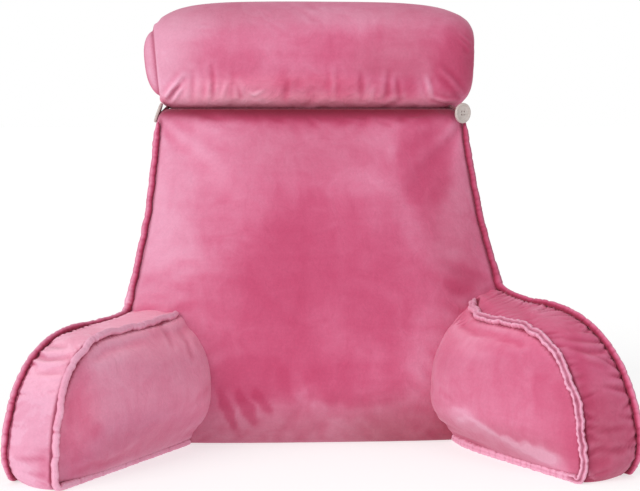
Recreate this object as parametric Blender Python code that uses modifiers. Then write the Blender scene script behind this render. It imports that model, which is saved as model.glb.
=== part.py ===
"""Reading pillow with arms: a stuffed wedge backrest, two stuffed arms, ruched welts, a buttoned neck roll.

Metres, +Z up. The origin is the middle of the backrest's flat base. The sitter faces -Y, and +X is to
the right as seen from the front.
"""

import math

import bmesh
import bpy
from mathutils import Vector

# Clearance between pieces that touch, the distance within which points merge, and the angle of a sharp edge.
GAP = 0.0004
MERGE = 0.00001
SHARP_ANGLE = math.radians(35)
UP = Vector((0.0, 0.0, 1.0))

# Backrest: a row for each level section. The front seam joins the front panel to the side panel.
BACKREST_HEIGHT = 0.439
BACKREST_ROWS = (
    # height, half width, front seam y, front crown, back seam y, back crown
    (0.000, 0.263, -0.086, 0.034, 0.112, 0.008),
    (0.060, 0.263, -0.092, 0.040, 0.117, 0.014),
    (0.120, 0.258, -0.087, 0.040, 0.120, 0.020),
    (0.180, 0.249, -0.072, 0.038, 0.121, 0.022),
    (0.240, 0.235, -0.050, 0.038, 0.121, 0.022),
    (0.300, 0.223, -0.025, 0.038, 0.121, 0.020),
    (0.360, 0.215, -0.003, 0.036, 0.121, 0.018),
    (0.439, 0.207, 0.020, 0.030, 0.121, 0.014),
)
TOP_ROUND = 0.024
BASE_ROUND = 0.012
SIDE_CROWN = 0.006
TOP_LEAN = -0.0035
BACK_NARROWING = 0.008
PANEL_POWER = 3.2
PANEL_EDGE = 0.62
FRONT_STEPS = 22
SIDE_STEPS = 4
BACK_STEPS = 12
ROUND_STEPS = 4
WALL_STEPS = 14

# Arms. Each stands along its own upright plane, s forward along the arm and z up. Its root is where the
# inner edge meets the backrest on the floor. The splay is in degrees.
ARM_ROWS = (
    # name, side, root x, root y, splay, band width
    ("left", -1, 0.173, -0.100, 28.2, 0.067),
    ("right", 1, 0.165, -0.100, 25.0, 0.074),
)
ARM_EDGES = {
    # length, height, nose length, nose power, bottom corner radius, rise at the root
    ("left", "inner"): (0.319, 0.169, 0.130, 2.5, 0.008, 0.005),
    ("left", "outer"): (0.319, 0.168, 0.170, 2.3, 0.040, 0.004),
    ("right", "inner"): (0.308, 0.173, 0.150, 2.4, 0.008, 0.018),
    ("right", "outer"): (0.314, 0.190, 0.200, 2.3, 0.042, 0.006),
}
ARM_HIDDEN_ROOT = 0.085
HIDDEN_ROOT_POWER = 2.6
ROOT_RISE_REACH = 0.100
ROOT_FLARE = 0.020
ROOT_FLARE_REACH = 0.110
BAND_CROWN = 0.007
# Bulge of an arm's panel, and the s and z of its middle.
INNER_PANEL = (0.036, 0.060, 0.080)
OUTER_PANEL = (0.020, 0.120, 0.080)
# Crown rings, each a share of the way from a panel's middle to its edge.
CROWN_SHARES = (0.14, 0.34, 0.53, 0.70, 0.84, 0.94)
CROWN_POWER = 2.5
CROWN_EDGE = 0.8
BOTTOM_STEPS = 9
CORNER_STEPS = 3
NOSE_STEPS = 13
TOP_STEPS = 6
ROOT_STEPS = 9
BAND_STEPS = 4

# Welts: ruched flanges standing on the seams.
WELT_REACH = 0.0048
WELT_HALF_WIDTH = 0.0044
WELT_SEAT = 0.0022
WELT_STEP = 0.011
WELT_SIDES = 8
WELT_TOP = 0.414
WELT_TURN = 0.020
WELT_TAPER = 0.020
TAPER_START = 0.45
# How a welt stands: against the way its edge bends, against the way its panel faces, and on a side seam.
EDGE_STAND = (0.75, 0.65)
SEAM_STAND = (0.85, -0.53)
# Ruching: share of the size, sideways wander, gather length, and the swing and length of its unevenness.
RUCHE_SIZE = 0.10
RUCHE_WANDER = 0.0010
RUCHE_LENGTH = 0.0062
RUCHE_SWING = 1.9
RUCHE_SWING_LENGTH = 0.021
WANDER_OFFSET = 0.3

# Neck roll: a row for each distance in from its end.
ROLL_ROWS = (
    # distance in, share of the full section, drop of its middle
    (0.000, 0.25, 0.003),
    (0.004, 0.47, 0.003),
    (0.009, 0.61, 0.003),
    (0.019, 0.76, 0.003),
    (0.034, 0.865, 0.003),
    (0.052, 0.935, 0.002),
    (0.078, 0.980, 0.001),
    (0.120, 1.000, 0.000),
    (0.228, 1.000, 0.000),
)
ROLL_LENGTH = 0.455
ROLL_HEIGHT = 0.154
ROLL_DEPTH = 0.142
ROLL_POWER = 2.3
ROLL_Y = 0.066
ROLL_AROUND = 36
ROLL_SINK = 0.007
ROLL_FOLDS = (
    # end, place round the section in degrees, depth, reach in from the end
    (-1, 218, 0.0050, 0.075),
    (-1, 246, 0.0040, 0.100),
    (1, 222, 0.0045, 0.070),
    (1, 250, 0.0040, 0.060),
    (1, 172, 0.0030, 0.050),
)
FOLD_DEGREES = 11.0

# Buttons, one at each upper corner of the backrest.
BUTTON_ROWS = (
    # name, middle of its back, facing, where its loop leaves the roll
    ("left", (-0.2112, 0.046, 0.4325), (-0.935, 0.050, 0.342), (-0.1997, 0.051, 0.4515)),
    ("right", (0.2025, 0.0060, 0.4330), (0.577, -0.814, -0.060), (0.2005, 0.036, 0.4520)),
)
BUTTON_RADIUS = 0.014
BUTTON_THICKNESS = 0.0038
BUTTON_DISH = 0.0010
BUTTON_RIM = 0.0030
BUTTON_ROUND = 0.0008
BUTTON_HOLE = 0.0022
BUTTON_HOLE_SPACING = 0.0044
BUTTON_HOLE_CUT = 0.0152
BUTTON_STEPS = 28
HOLE_STEPS = 10

# Thread shanks and elastic loops.
SHANK_RADIUS = 0.0020
SHANK_LENGTH = 0.0100
LOOP_RADIUS = 0.0013
LOOP_BEND = 0.0038
LOOP_BEHIND = 0.0018
LOOP_LEG_STEPS = 5
LOOP_BEND_STEPS = 6

# Colours.
VELVET = (0.56, 0.11, 0.21, 1.0)
WELT_VELVET = (0.50, 0.10, 0.19, 1.0)
BUTTON_WHITE = (0.58, 0.53, 0.49, 1.0)
THREAD_PINK = (0.45, 0.12, 0.18, 1.0)
ELASTIC_RED = (0.24, 0.03, 0.06, 1.0)


def clear_scene():
    for obj in list(bpy.data.objects):
        bpy.data.objects.remove(obj)


def make_collection(name):
    collection = bpy.data.collections.new(name)
    bpy.context.scene.collection.children.link(collection)
    return collection


def make_material(name, colour, roughness):
    material = bpy.data.materials.new(name)
    material.use_nodes = True
    shader = material.node_tree.nodes["Principled BSDF"]
    shader.inputs["Base Color"].default_value = colour
    shader.inputs["Roughness"].default_value = roughness
    shader.inputs["Metallic"].default_value = 0.0
    return material


def read_row(rows, station):
    """The values at this station, on a smooth curve through the rows."""
    station = min(max(station, rows[0][0]), rows[-1][0])
    i = 0
    while i < len(rows) - 2 and station > rows[i + 1][0]:
        i += 1
    before, start, end, after = (rows[min(max(k, 0), len(rows) - 1)] for k in (i - 1, i, i + 1, i + 2))
    span = end[0] - start[0]
    t = (station - start[0]) / span
    values = []
    for a, b, c, d in zip(before[1:], start[1:], end[1:], after[1:]):
        slope_in = (c - a) * span / (end[0] - before[0])
        slope_out = (d - b) * span / (after[0] - start[0])
        values.append(
            b * (2 * t**3 - 3 * t**2 + 1)
            + slope_in * (t**3 - 2 * t**2 + t)
            + c * (3 * t**2 - 2 * t**3)
            + slope_out * (t**3 - t**2)
        )
    return values


def loft(name, rings, material, collection):
    """One closed body through rings of equally many points, each end closed by a fan to its middle."""
    mesh = bmesh.new()
    loops = [[mesh.verts.new(point) for point in ring] for ring in rings]
    count = len(loops[0])
    for first, second in zip(loops, loops[1:]):
        for k in range(count):
            mesh.faces.new((first[k], first[(k + 1) % count], second[(k + 1) % count], second[k]))
    for loop in (loops[0], loops[-1]):
        middle = mesh.verts.new(sum((v.co for v in loop), Vector()) / count)
        for k in range(count):
            mesh.faces.new((loop[k], loop[(k + 1) % count], middle))
    bmesh.ops.triangulate(mesh, faces=mesh.faces)
    bmesh.ops.recalc_face_normals(mesh, faces=mesh.faces)
    return mesh_object(name, mesh, material, collection)


def mesh_object(name, mesh, material, collection):
    data = bpy.data.meshes.new(name)
    mesh.to_mesh(data)
    mesh.free()
    data.materials.append(material)
    data.shade_smooth()
    data.set_sharp_from_angle(angle=SHARP_ANGLE)
    obj = bpy.data.objects.new(name, data)
    collection.objects.link(obj)
    return obj


def grown_copy(obj, cutters):
    """A cutter: this piece as its modifiers leave it, with every face moved out by the clearance."""
    graph = bpy.context.evaluated_depsgraph_get()
    data = bpy.data.meshes.new_from_object(obj.evaluated_get(graph))
    moved = [vertex.co + GAP * vertex.normal for vertex in data.vertices]
    for vertex, place in zip(data.vertices, moved):
        vertex.co = place
    cutter = bpy.data.objects.new(obj.name + "_cutter", data)
    cutter.matrix_world = obj.matrix_world
    cutter.hide_render = True
    cutter.display_type = "WIRE"
    cutters.objects.link(cutter)
    return cutter


def cut(obj, *tools):
    for tool in tools:
        difference = obj.modifiers.new("clear_" + tool.name, "BOOLEAN")
        difference.operation = "DIFFERENCE"
        difference.object = tool


def corner_inset(height):
    """How far the wall draws in at this height, to round the base and the top."""
    past_top = height - BACKREST_HEIGHT + TOP_ROUND
    past_base = BASE_ROUND - height
    if past_top > 0:
        return TOP_ROUND - math.sqrt(max(TOP_ROUND**2 - past_top**2, 0.0))
    if past_base > 0:
        return BASE_ROUND - math.sqrt(max(BASE_ROUND**2 - past_base**2, 0.0))
    return 0.0


def backrest_section(height):
    half_width, seam_y, crown, back_y, back_crown = read_row(BACKREST_ROWS, height)
    inset = corner_inset(height)
    return half_width - inset, seam_y + inset, crown, back_y - inset, back_crown


def backrest_middle(height):
    """The backrest leans a little to one side towards its top."""
    return TOP_LEAN * (height / BACKREST_HEIGHT) ** 2


def panel_rise(across):
    """Rise of a stuffed panel, from 0 at its seams to 1 in its middle."""
    return (1 - abs(across) ** PANEL_POWER) ** PANEL_EDGE


def backrest_ring(height):
    half_width, seam_y, crown, back_y, back_crown = backrest_section(height)
    back_half = half_width - BACK_NARROWING
    front, right, back = [], [], []
    for k in range(FRONT_STEPS):
        across = math.sin(math.pi * (k / FRONT_STEPS - 0.5))
        front.append(Vector((half_width * across, seam_y - crown * panel_rise(across), height)))
    for k in range(SIDE_STEPS):
        t = k / SIDE_STEPS
        x = half_width - BACK_NARROWING * t + SIDE_CROWN * math.sin(math.pi * t)
        right.append(Vector((x, seam_y + (back_y - seam_y) * t, height)))
    for k in range(BACK_STEPS + 1):
        across = math.sin(math.pi * (0.5 - k / BACK_STEPS))
        back.append(Vector((back_half * across, back_y + back_crown * panel_rise(across), height)))
    left = [Vector((-point.x, point.y, height)) for point in reversed(right[1:])]
    lean = Vector((backrest_middle(height), 0.0, 0.0))
    return [point + lean for point in front + right + back + left]


def backrest_heights():
    low, high = BASE_ROUND, BACKREST_HEIGHT - TOP_ROUND
    quarter = [0.5 * math.pi * k / ROUND_STEPS for k in range(ROUND_STEPS + 1)]
    base = [BASE_ROUND * (1 - math.cos(angle)) for angle in quarter[:-1]]
    wall = [low + (high - low) * k / WALL_STEPS for k in range(WALL_STEPS)]
    return base + wall + [high + TOP_ROUND * math.sin(angle) for angle in quarter]


def make_backrest(velvet, parts):
    return loft("backrest", [backrest_ring(z) for z in backrest_heights()], velvet, parts)


def edge_outline(edge):
    """Side outline of one edge of an arm as (s, z): base, corner, nose, top, and round the hidden root."""
    length, height, nose, power, corner, rise = edge
    lift = math.asin((corner / height) ** (power / 2))
    corner_s = length - nose + nose * math.cos(lift) ** (2 / power)
    points = []
    base_end = corner_s - corner
    for k in range(BOTTOM_STEPS):
        points.append((base_end * k / BOTTOM_STEPS, 0.0))
    for k in range(CORNER_STEPS):
        angle = 0.5 * math.pi * k / CORNER_STEPS
        points.append((base_end + corner * math.sin(angle), corner - corner * math.cos(angle)))
    for k in range(NOSE_STEPS):
        angle = lift + (0.5 * math.pi - lift) * k / NOSE_STEPS
        s = length - nose + nose * math.cos(angle) ** (2 / power)
        points.append((s, height * math.sin(angle) ** (2 / power)))
    for k in range(TOP_STEPS + 1):
        points.append(((length - nose) * (1 - k / TOP_STEPS), height))
    for k in range(1, ROOT_STEPS):
        c, w = math.cos(math.pi * k / ROOT_STEPS), math.sin(math.pi * k / ROOT_STEPS)
        z = 0.5 * height * (1 + math.copysign(abs(c) ** (2 / HIDDEN_ROOT_POWER), c))
        points.append((-ARM_HIDDEN_ROOT * w ** (2 / HIDDEN_ROOT_POWER), z))
    lifted = []
    for s, z in points:
        near_root = max(0.0, 1 - max(s, 0.0) / ROOT_RISE_REACH)
        lifted.append((s, z * (1 + rise / height * near_root**2)))
    return lifted


def arm_axes(row):
    """Root, forward and towards-the-sitter directions of an arm."""
    _, side, root_x, root_y, splay, _ = row
    angle = math.radians(splay)
    forward = Vector((side * math.sin(angle), -math.cos(angle), 0.0))
    inward = Vector((-side * math.cos(angle), -math.sin(angle), 0.0))
    return Vector((side * root_x, root_y, 0.0)), forward, inward


def arm_point(row, s, across, z):
    """Across runs from 0 at the inner edge to 1 at the outer one, which flares out towards the root."""
    root, forward, inward = arm_axes(row)
    near_root = max(0.0, 1 - max(s, 0.0) / ROOT_FLARE_REACH)
    width = row[5] + ROOT_FLARE * near_root**2
    return root + s * forward - across * width * inward + z * UP


def panel_rings(row, outline, panel, across):
    """Rings of a crowned arm panel, from near its middle out to near its edge."""
    bulge, middle_s, middle_z = panel
    _, _, inward = arm_axes(row)
    out = inward if across == 0 else -inward
    rings = []
    for share in CROWN_SHARES:
        rise = bulge * (1 - share**CROWN_POWER) ** CROWN_EDGE
        ring = []
        for s, z in outline:
            near_s, near_z = middle_s + share * (s - middle_s), middle_z + share * (z - middle_z)
            ring.append(arm_point(row, near_s, across, near_z) + rise * out)
        rings.append(ring)
    return rings


def band_rings(row, inner, outer):
    """Rings of the band between an arm's two edges, which crowns between its welts."""
    _, middle_s, middle_z = INNER_PANEL
    rings = []
    for k in range(BAND_STEPS + 1):
        across = k / BAND_STEPS
        crown = BAND_CROWN * 4 * across * (1 - across)
        ring = []
        for (s0, z0), (s1, z1) in zip(inner, outer):
            s, z = s0 + (s1 - s0) * across, z0 + (z1 - z0) * across
            share = 1 + crown / math.hypot(s - middle_s, z - middle_z)
            z = max(middle_z + share * (z - middle_z), 0.0)
            ring.append(arm_point(row, middle_s + share * (s - middle_s), across, z))
        rings.append(ring)
    return rings


def make_arm(row, velvet, parts):
    inner = edge_outline(ARM_EDGES[row[0], "inner"])
    outer = edge_outline(ARM_EDGES[row[0], "outer"])
    rings = panel_rings(row, inner, INNER_PANEL, 0)
    rings += band_rings(row, inner, outer)
    rings += reversed(panel_rings(row, outer, OUTER_PANEL, 1))
    return loft("arm_" + row[0], rings, velvet, parts)


def fold_depth(x, end_distance, angle):
    depth = 0.0
    for end, place, deep, reach in ROLL_FOLDS:
        if end * x <= 0 or end_distance >= reach:
            continue
        along = math.sin(math.pi * end_distance / reach)
        aside = (math.degrees(angle) - place) / FOLD_DEGREES
        depth += deep * along * math.exp(-(aside**2))
    return depth


def make_roll(velvet, parts):
    half = ROLL_LENGTH / 2
    floor = BACKREST_HEIGHT + GAP
    middle = floor + ROLL_HEIGHT / 2 - ROLL_SINK
    distances = [row[0] for row in ROLL_ROWS[:-1]]
    stations = [(-half + s, s) for s in distances] + [(0.0, half)]
    stations += [(half - s, s) for s in reversed(distances)]
    rings = []
    for x, end_distance in stations:
        share, drop = read_row(ROLL_ROWS, end_distance)
        ring = []
        for k in range(ROLL_AROUND):
            angle = 2 * math.pi * (k + 0.5) / ROLL_AROUND
            c, w = math.cos(angle), math.sin(angle)
            thinner = 1 - fold_depth(x, end_distance, angle) / (ROLL_HEIGHT / 2)
            y = ROLL_DEPTH / 2 * share * thinner * math.copysign(abs(c) ** (2 / ROLL_POWER), c)
            z = ROLL_HEIGHT / 2 * share * thinner * math.copysign(abs(w) ** (2 / ROLL_POWER), w)
            ring.append(Vector((x, ROLL_Y + y, max(middle - drop + z, floor))))
        rings.append(ring)
    return loft("neck_roll", rings, velvet, parts)


def seam_point(side, height):
    half_width, seam_y, _, _, _ = backrest_section(height)
    return Vector((side * half_width + backrest_middle(height), seam_y, height))


def edge_line(row, edge_name):
    """(point, way the welt stands) along an arm's edge, from its root top over the nose and back below."""
    across = 0 if edge_name == "inner" else 1
    outline = edge_outline(ARM_EDGES[row[0], edge_name])
    path = outline[: BOTTOM_STEPS + CORNER_STEPS + NOSE_STEPS + TOP_STEPS + 1]
    lean, turn_out = EDGE_STAND
    _, forward, inward = arm_axes(row)
    away = inward if across == 0 else -inward
    line = []
    for k, (s, z) in enumerate(path):
        before, after = path[max(k - 1, 0)], path[min(k + 1, len(path) - 1)]
        tangent = Vector((after[0] - before[0], after[1] - before[1])).normalized()
        upright = tangent.y * forward + max(-tangent.x, 0.0) * UP
        line.append((arm_point(row, s, across, z), (lean * upright + turn_out * away).normalized()))
    line.reverse()
    return line


def even_line(line, step):
    """The line's points and directions again, evenly spaced on a smooth curve through them."""
    rows = []
    travelled = 0.0
    for k, (point, out) in enumerate(line):
        if k:
            travelled += (point - line[k - 1][0]).length
        rows.append((travelled, *point, *out))
    count = round(travelled / step)
    even = []
    for k in range(count + 1):
        values = read_row(rows, travelled * k / count)
        even.append((Vector(values[:3]), Vector(values[3:]).normalized()))
    return even


def ruche(distance):
    """Uneven gathering along a welt, from -1 to 1."""
    return math.sin(distance / RUCHE_LENGTH + RUCHE_SWING * math.sin(distance / RUCHE_SWING_LENGTH))


def make_welt(name, line, taper, cushions, velvet, parts):
    line = even_line(line, WELT_STEP)
    rings = []
    for k, (point, out) in enumerate(line):
        distance = k * WELT_STEP
        before, after = line[max(k - 1, 0)][0], line[min(k + 1, len(line) - 1)][0]
        along = (after - before).normalized()
        out = (out - out.dot(along) * along).normalized()
        aside = along.cross(out)
        size = 1 + RUCHE_SIZE * ruche(distance)
        if taper:
            size *= min(1.0, TAPER_START + (1 - TAPER_START) * distance / WELT_TAPER)
        middle = point + WELT_SEAT * out + RUCHE_WANDER * ruche(distance + WANDER_OFFSET) * aside
        middle.z = max(middle.z, WELT_HALF_WIDTH)
        ring = []
        for j in range(WELT_SIDES):
            angle = 2 * math.pi * (j + 0.5) / WELT_SIDES
            corner = middle + size * WELT_REACH * math.cos(angle) * out
            corner += size * WELT_HALF_WIDTH * math.sin(angle) * aside
            corner.z = max(corner.z, 0.0)
            ring.append(corner)
        rings.append(ring)
    welt = loft(name, rings, velvet, parts)
    cut(welt, *cushions)
    return welt


def make_welts(row, cushions, velvet, parts):
    name, side = row[0], row[1]
    seam_out = Vector((SEAM_STAND[0] * side, SEAM_STAND[1], 0.0))
    _, arm_height, _, _, _, rise = ARM_EDGES[name, "outer"]
    join = arm_height + rise
    turn_y = seam_point(side, join).y - WELT_TURN
    seam = []
    height = WELT_TOP
    while height > join:
        seam.append((seam_point(side, height), seam_out))
        height -= WELT_STEP
    outer = [entry for entry in edge_line(row, "outer") if entry[0].y < turn_y]
    make_welt("welt_outer_" + name, seam + outer, True, cushions, velvet, parts)
    make_welt("welt_inner_" + name, edge_line(row, "inner"), False, cushions, velvet, parts)


def make_disc(name, radius, length, steps, collection):
    mesh = bmesh.new()
    bmesh.ops.create_cone(mesh, cap_ends=True, segments=steps, radius1=radius, radius2=radius, depth=length)
    data = bpy.data.meshes.new(name)
    mesh.to_mesh(data)
    mesh.free()
    obj = bpy.data.objects.new(name, data)
    collection.objects.link(obj)
    return obj


def button_turn(facing):
    return Vector(facing).to_track_quat("Z", "Y")


def make_button(row, white, parts, cutters):
    """A turned disc with a raised rim and four holes, its back at its origin and its face along +Z."""
    name, middle, facing, _ = row
    inner = BUTTON_RADIUS - BUTTON_RIM
    floor = BUTTON_THICKNESS - BUTTON_DISH
    profile = (
        (0.0, floor),
        (inner, floor),
        (inner + BUTTON_ROUND, BUTTON_THICKNESS),
        (BUTTON_RADIUS - BUTTON_ROUND, BUTTON_THICKNESS),
        (BUTTON_RADIUS, BUTTON_THICKNESS - BUTTON_ROUND),
        (BUTTON_RADIUS, BUTTON_ROUND),
        (BUTTON_RADIUS - BUTTON_ROUND, 0.0),
        (0.0, 0.0),
    )
    mesh = bmesh.new()
    points = [mesh.verts.new((x, 0.0, z)) for x, z in profile]
    for first, second in zip(points, points[1:]):
        mesh.edges.new((first, second))
    button = mesh_object("button_" + name, mesh, white, parts)
    button.location = middle
    button.rotation_mode = "QUATERNION"
    button.rotation_quaternion = button_turn(facing)
    turn = button.modifiers.new("turn", "SCREW")
    turn.steps = BUTTON_STEPS
    turn.render_steps = BUTTON_STEPS
    turn.use_merge_vertices = True
    turn.merge_threshold = MERGE
    for k in range(4):
        angle = math.pi * (0.25 + 0.5 * k)
        place = Vector((math.cos(angle), math.sin(angle), 0.0)) * BUTTON_HOLE_SPACING / math.sqrt(2)
        hole = make_disc(f"hole_{name}_{k}", BUTTON_HOLE / 2, BUTTON_HOLE_CUT, HOLE_STEPS, cutters)
        hole.parent = button
        hole.location = place
        hole.hide_render = True
        hole.display_type = "WIRE"
        cut(button, hole)
    return button


def make_shank(row, backrest_cutter, thread, parts):
    """The wound thread between a button's back and the backrest."""
    name, middle, facing, _ = row
    back = Vector(middle) - GAP * Vector(facing).normalized()
    shank = make_disc("thread_" + name, SHANK_RADIUS, SHANK_LENGTH, HOLE_STEPS, parts)
    shank.data.materials.append(thread)
    shank.data.shade_smooth()
    shank.data.set_sharp_from_angle(angle=SHARP_ANGLE)
    shank.rotation_mode = "QUATERNION"
    shank.rotation_quaternion = button_turn(facing)
    shank.location = back - SHANK_LENGTH / 2 * Vector(facing).normalized()
    cut(shank, backrest_cutter)


def make_loop(row, cushion_cutters, elastic, parts):
    """An elastic loop from the roll's end, round the shank behind a button and back."""
    name, middle, facing, root = row
    facing = Vector(facing).normalized()
    bend = Vector(middle) - LOOP_BEHIND * facing
    leg = Vector(root) - bend
    lift = (leg - leg.dot(facing) * facing).normalized()
    aside = facing.cross(lift)
    path = []
    for k in range(LOOP_LEG_STEPS):
        path.append(Vector(root).lerp(bend, k / LOOP_LEG_STEPS) + LOOP_BEND * aside)
    for k in range(LOOP_BEND_STEPS + 1):
        angle = math.pi * k / LOOP_BEND_STEPS
        path.append(bend + LOOP_BEND * (math.cos(angle) * aside - math.sin(angle) * lift))
    for k in range(LOOP_LEG_STEPS):
        path.append(bend.lerp(Vector(root), (k + 1) / LOOP_LEG_STEPS) - LOOP_BEND * aside)
    curve = bpy.data.curves.new("loop_path", "CURVE")
    curve.dimensions = "3D"
    curve.bevel_depth = LOOP_RADIUS
    curve.bevel_resolution = 2
    curve.use_fill_caps = True
    spline = curve.splines.new("POLY")
    spline.points.add(len(path) - 1)
    for point, place in zip(spline.points, path):
        point.co = (*place, 1.0)
    guide = bpy.data.objects.new("loop_path", curve)
    parts.objects.link(guide)
    graph = bpy.context.evaluated_depsgraph_get()
    mesh = bmesh.new()
    mesh.from_mesh(bpy.data.meshes.new_from_object(guide.evaluated_get(graph)))
    bpy.data.objects.remove(guide)
    bmesh.ops.remove_doubles(mesh, verts=mesh.verts, dist=MERGE)
    bmesh.ops.recalc_face_normals(mesh, faces=mesh.faces)
    loop = mesh_object("loop_" + name, mesh, elastic, parts)
    cut(loop, *cushion_cutters)


def main():
    clear_scene()
    parts = make_collection("reading_pillow")
    cutters = make_collection("cutters")
    velvet = make_material("velvet", VELVET, 0.85)
    welt_velvet = make_material("welt_velvet", WELT_VELVET, 0.85)
    white = make_material("button_white", BUTTON_WHITE, 0.35)
    thread = make_material("thread_pink", THREAD_PINK, 0.80)
    backrest = make_backrest(velvet, parts)
    backrest_cutter = grown_copy(backrest, cutters)
    for row in ARM_ROWS:
        arm = make_arm(row, velvet, parts)
        make_welts(row, (backrest_cutter, grown_copy(arm, cutters)), welt_velvet, parts)
        cut(arm, backrest_cutter)
    elastic = make_material("elastic_red", ELASTIC_RED, 0.75)
    roll_cutter = grown_copy(make_roll(velvet, parts), cutters)
    for row in BUTTON_ROWS:
        make_button(row, white, parts, cutters)
        make_shank(row, backrest_cutter, thread, parts)
        make_loop(row, (backrest_cutter, roll_cutter), elastic, parts)


main()
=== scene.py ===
import math
import random
import time
from functools import partial

import bmesh
import bpy
import numpy as np
from mathutils import Matrix, Vector, bvhtree, geometry, noise


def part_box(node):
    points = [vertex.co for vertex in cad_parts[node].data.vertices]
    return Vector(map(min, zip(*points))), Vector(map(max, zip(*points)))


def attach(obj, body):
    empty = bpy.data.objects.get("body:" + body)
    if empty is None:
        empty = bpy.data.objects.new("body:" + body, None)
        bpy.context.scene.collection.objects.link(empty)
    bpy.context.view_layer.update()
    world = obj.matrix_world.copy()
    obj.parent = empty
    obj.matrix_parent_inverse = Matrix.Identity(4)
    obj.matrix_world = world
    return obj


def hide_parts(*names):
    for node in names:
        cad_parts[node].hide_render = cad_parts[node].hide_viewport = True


# A velvet reading pillow: wedge backrest, two arms, ruched welts, a neck roll and its buttons.
# Metres, +Z up. The backrest's base is centred on the origin and the sitter faces -Y.

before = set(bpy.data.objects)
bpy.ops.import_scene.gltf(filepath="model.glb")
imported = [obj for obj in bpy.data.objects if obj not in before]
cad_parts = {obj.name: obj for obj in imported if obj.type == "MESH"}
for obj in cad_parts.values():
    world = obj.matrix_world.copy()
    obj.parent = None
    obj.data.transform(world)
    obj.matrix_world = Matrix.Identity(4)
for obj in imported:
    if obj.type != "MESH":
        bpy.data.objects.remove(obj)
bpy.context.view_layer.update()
startTime = time.time()


def report(stage):
    print(f"{stage}, {time.time() - startTime:.0f} s")


up = np.array((0.0, 0.0, 1.0))


def tableRow(rows, station):
    station = min(max(station, rows[0][0]), rows[-1][0])
    i = 0
    while i < len(rows) - 2 and station > rows[i + 1][0]:
        i += 1
    before, start, end, after = (rows[min(max(k, 0), len(rows) - 1)] for k in (i - 1, i, i + 1, i + 2))
    span = end[0] - start[0]
    t = (station - start[0]) / span
    values = []
    for a, b, c, d in zip(before[1:], start[1:], end[1:], after[1:]):
        slopeIn = (c - a) * span / (end[0] - before[0])
        slopeOut = (d - b) * span / (after[0] - start[0])
        values.append(
            b * (2 * t**3 - 3 * t**2 + 1)
            + slopeIn * (t**3 - 2 * t**2 + t)
            + c * (3 * t**2 - 2 * t**3)
            + slopeOut * (t**3 - t**2)
        )
    return values


def linked(name, data):
    piece = bpy.data.objects.new(name, data)
    bpy.context.scene.collection.objects.link(piece)
    return piece


def meshPiece(name, points, faces):
    data = bpy.data.meshes.new(name)
    data.from_pydata([tuple(p) for p in points], [], faces)
    data.update()
    return linked(name, data)


def facesOut(piece):
    mesh = bmesh.new()
    mesh.from_mesh(piece.data)
    bmesh.ops.recalc_face_normals(mesh, faces=mesh.faces)
    mesh.to_mesh(piece.data)
    mesh.free()
    piece.data.shade_smooth()


def rowsOf(collection, name, width, kind=np.float32):
    values = np.empty(len(collection) * width, kind)
    collection.foreach_get(name, values)
    return values.reshape(-1, width)


def placesOf(piece):
    return rowsOf(piece.data.vertices, "co", 3).astype(float)


def normalsOf(piece):
    return rowsOf(piece.data.vertex_normals, "vector", 3).astype(float)


def movePlaces(piece, places):
    piece.data.vertices.foreach_set("co", places.astype(np.float32).ravel())
    piece.data.update()


def unit(rows):
    return rows / np.linalg.norm(rows, axis=1, keepdims=True)


def ease(values, start, reach):
    # From 0 at the start up to 1 a reach further on. A reach below 0 runs the other way.
    return np.clip((values - start) / reach, 0, 1)


def applyModifiers(piece):
    graph = bpy.context.evaluated_depsgraph_get()
    data = bpy.data.meshes.new_from_object(piece.evaluated_get(graph))
    old = piece.data
    piece.modifiers.clear()
    piece.data = data
    bpy.data.meshes.remove(old)


def addModifier(piece, kind, **settings):
    modifier = piece.modifiers.new(kind.lower(), kind)
    for name, value in settings.items():
        setattr(modifier, name, value)


def subdivide(piece):
    addModifier(piece, "SUBSURF", levels=1, render_levels=1)
    applyModifiers(piece)
    piece.data.shade_smooth()


# a light cloth that hardly stretches
fabric = {
    "quality": 6,
    "mass": 0.3,
    "air_damping": 2.0,
    "tension_stiffness": 12,
    "compression_stiffness": 12,
    "shear_stiffness": 6,
    "tension_damping": 12,
    "compression_damping": 12,
    "shear_damping": 12,
    "use_pressure": True,
    "vertex_group_mass": "seams",
}


def stuff(piece, held, amounts):
    # Cloth under pressure, held at its seams, with a little more fabric than the seams take up.
    start = placesOf(piece)
    seams = piece.vertex_groups.new(name="seams")
    seams.add([int(i) for i in np.nonzero(held)[0]], 1.0, "REPLACE")
    cloth = piece.modifiers.new("stuffing", "CLOTH")
    filling = {
        "bending_stiffness": amounts["bending"],
        "uniform_pressure_force": amounts["pressure"],
        "shrink_min": -amounts["slack"],
    }
    for name, value in (fabric | filling).items():
        setattr(cloth.settings, name, value)
    cloth.settings.effector_weights.gravity = 0.0
    cloth.collision_settings.use_collision = False
    cloth.collision_settings.use_self_collision = False
    cloth.point_cache.frame_start = 1
    cloth.point_cache.frame_end = amounts["frames"]
    for number in range(1, amounts["frames"] + 1):
        bpy.context.scene.frame_set(number)
    graph = bpy.context.evaluated_depsgraph_get()
    settled = np.array([v.co for v in piece.evaluated_get(graph).data.vertices])
    moved = settled - start
    length = np.maximum(np.linalg.norm(moved, axis=1, keepdims=True), 1e-9)
    capped = moved / length * amounts["most"] * np.tanh(length / amounts["most"])
    piece.modifiers.clear()
    piece.vertex_groups.clear()
    movePlaces(piece, start + capped)
    bpy.context.scene.frame_set(1)
    report(f"{piece.name} settled, moved {length.mean() * 1000:.1f} mm on average")


# The pile: folds, seams and brush marks are placed in x and z, as seen from the front.

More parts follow.
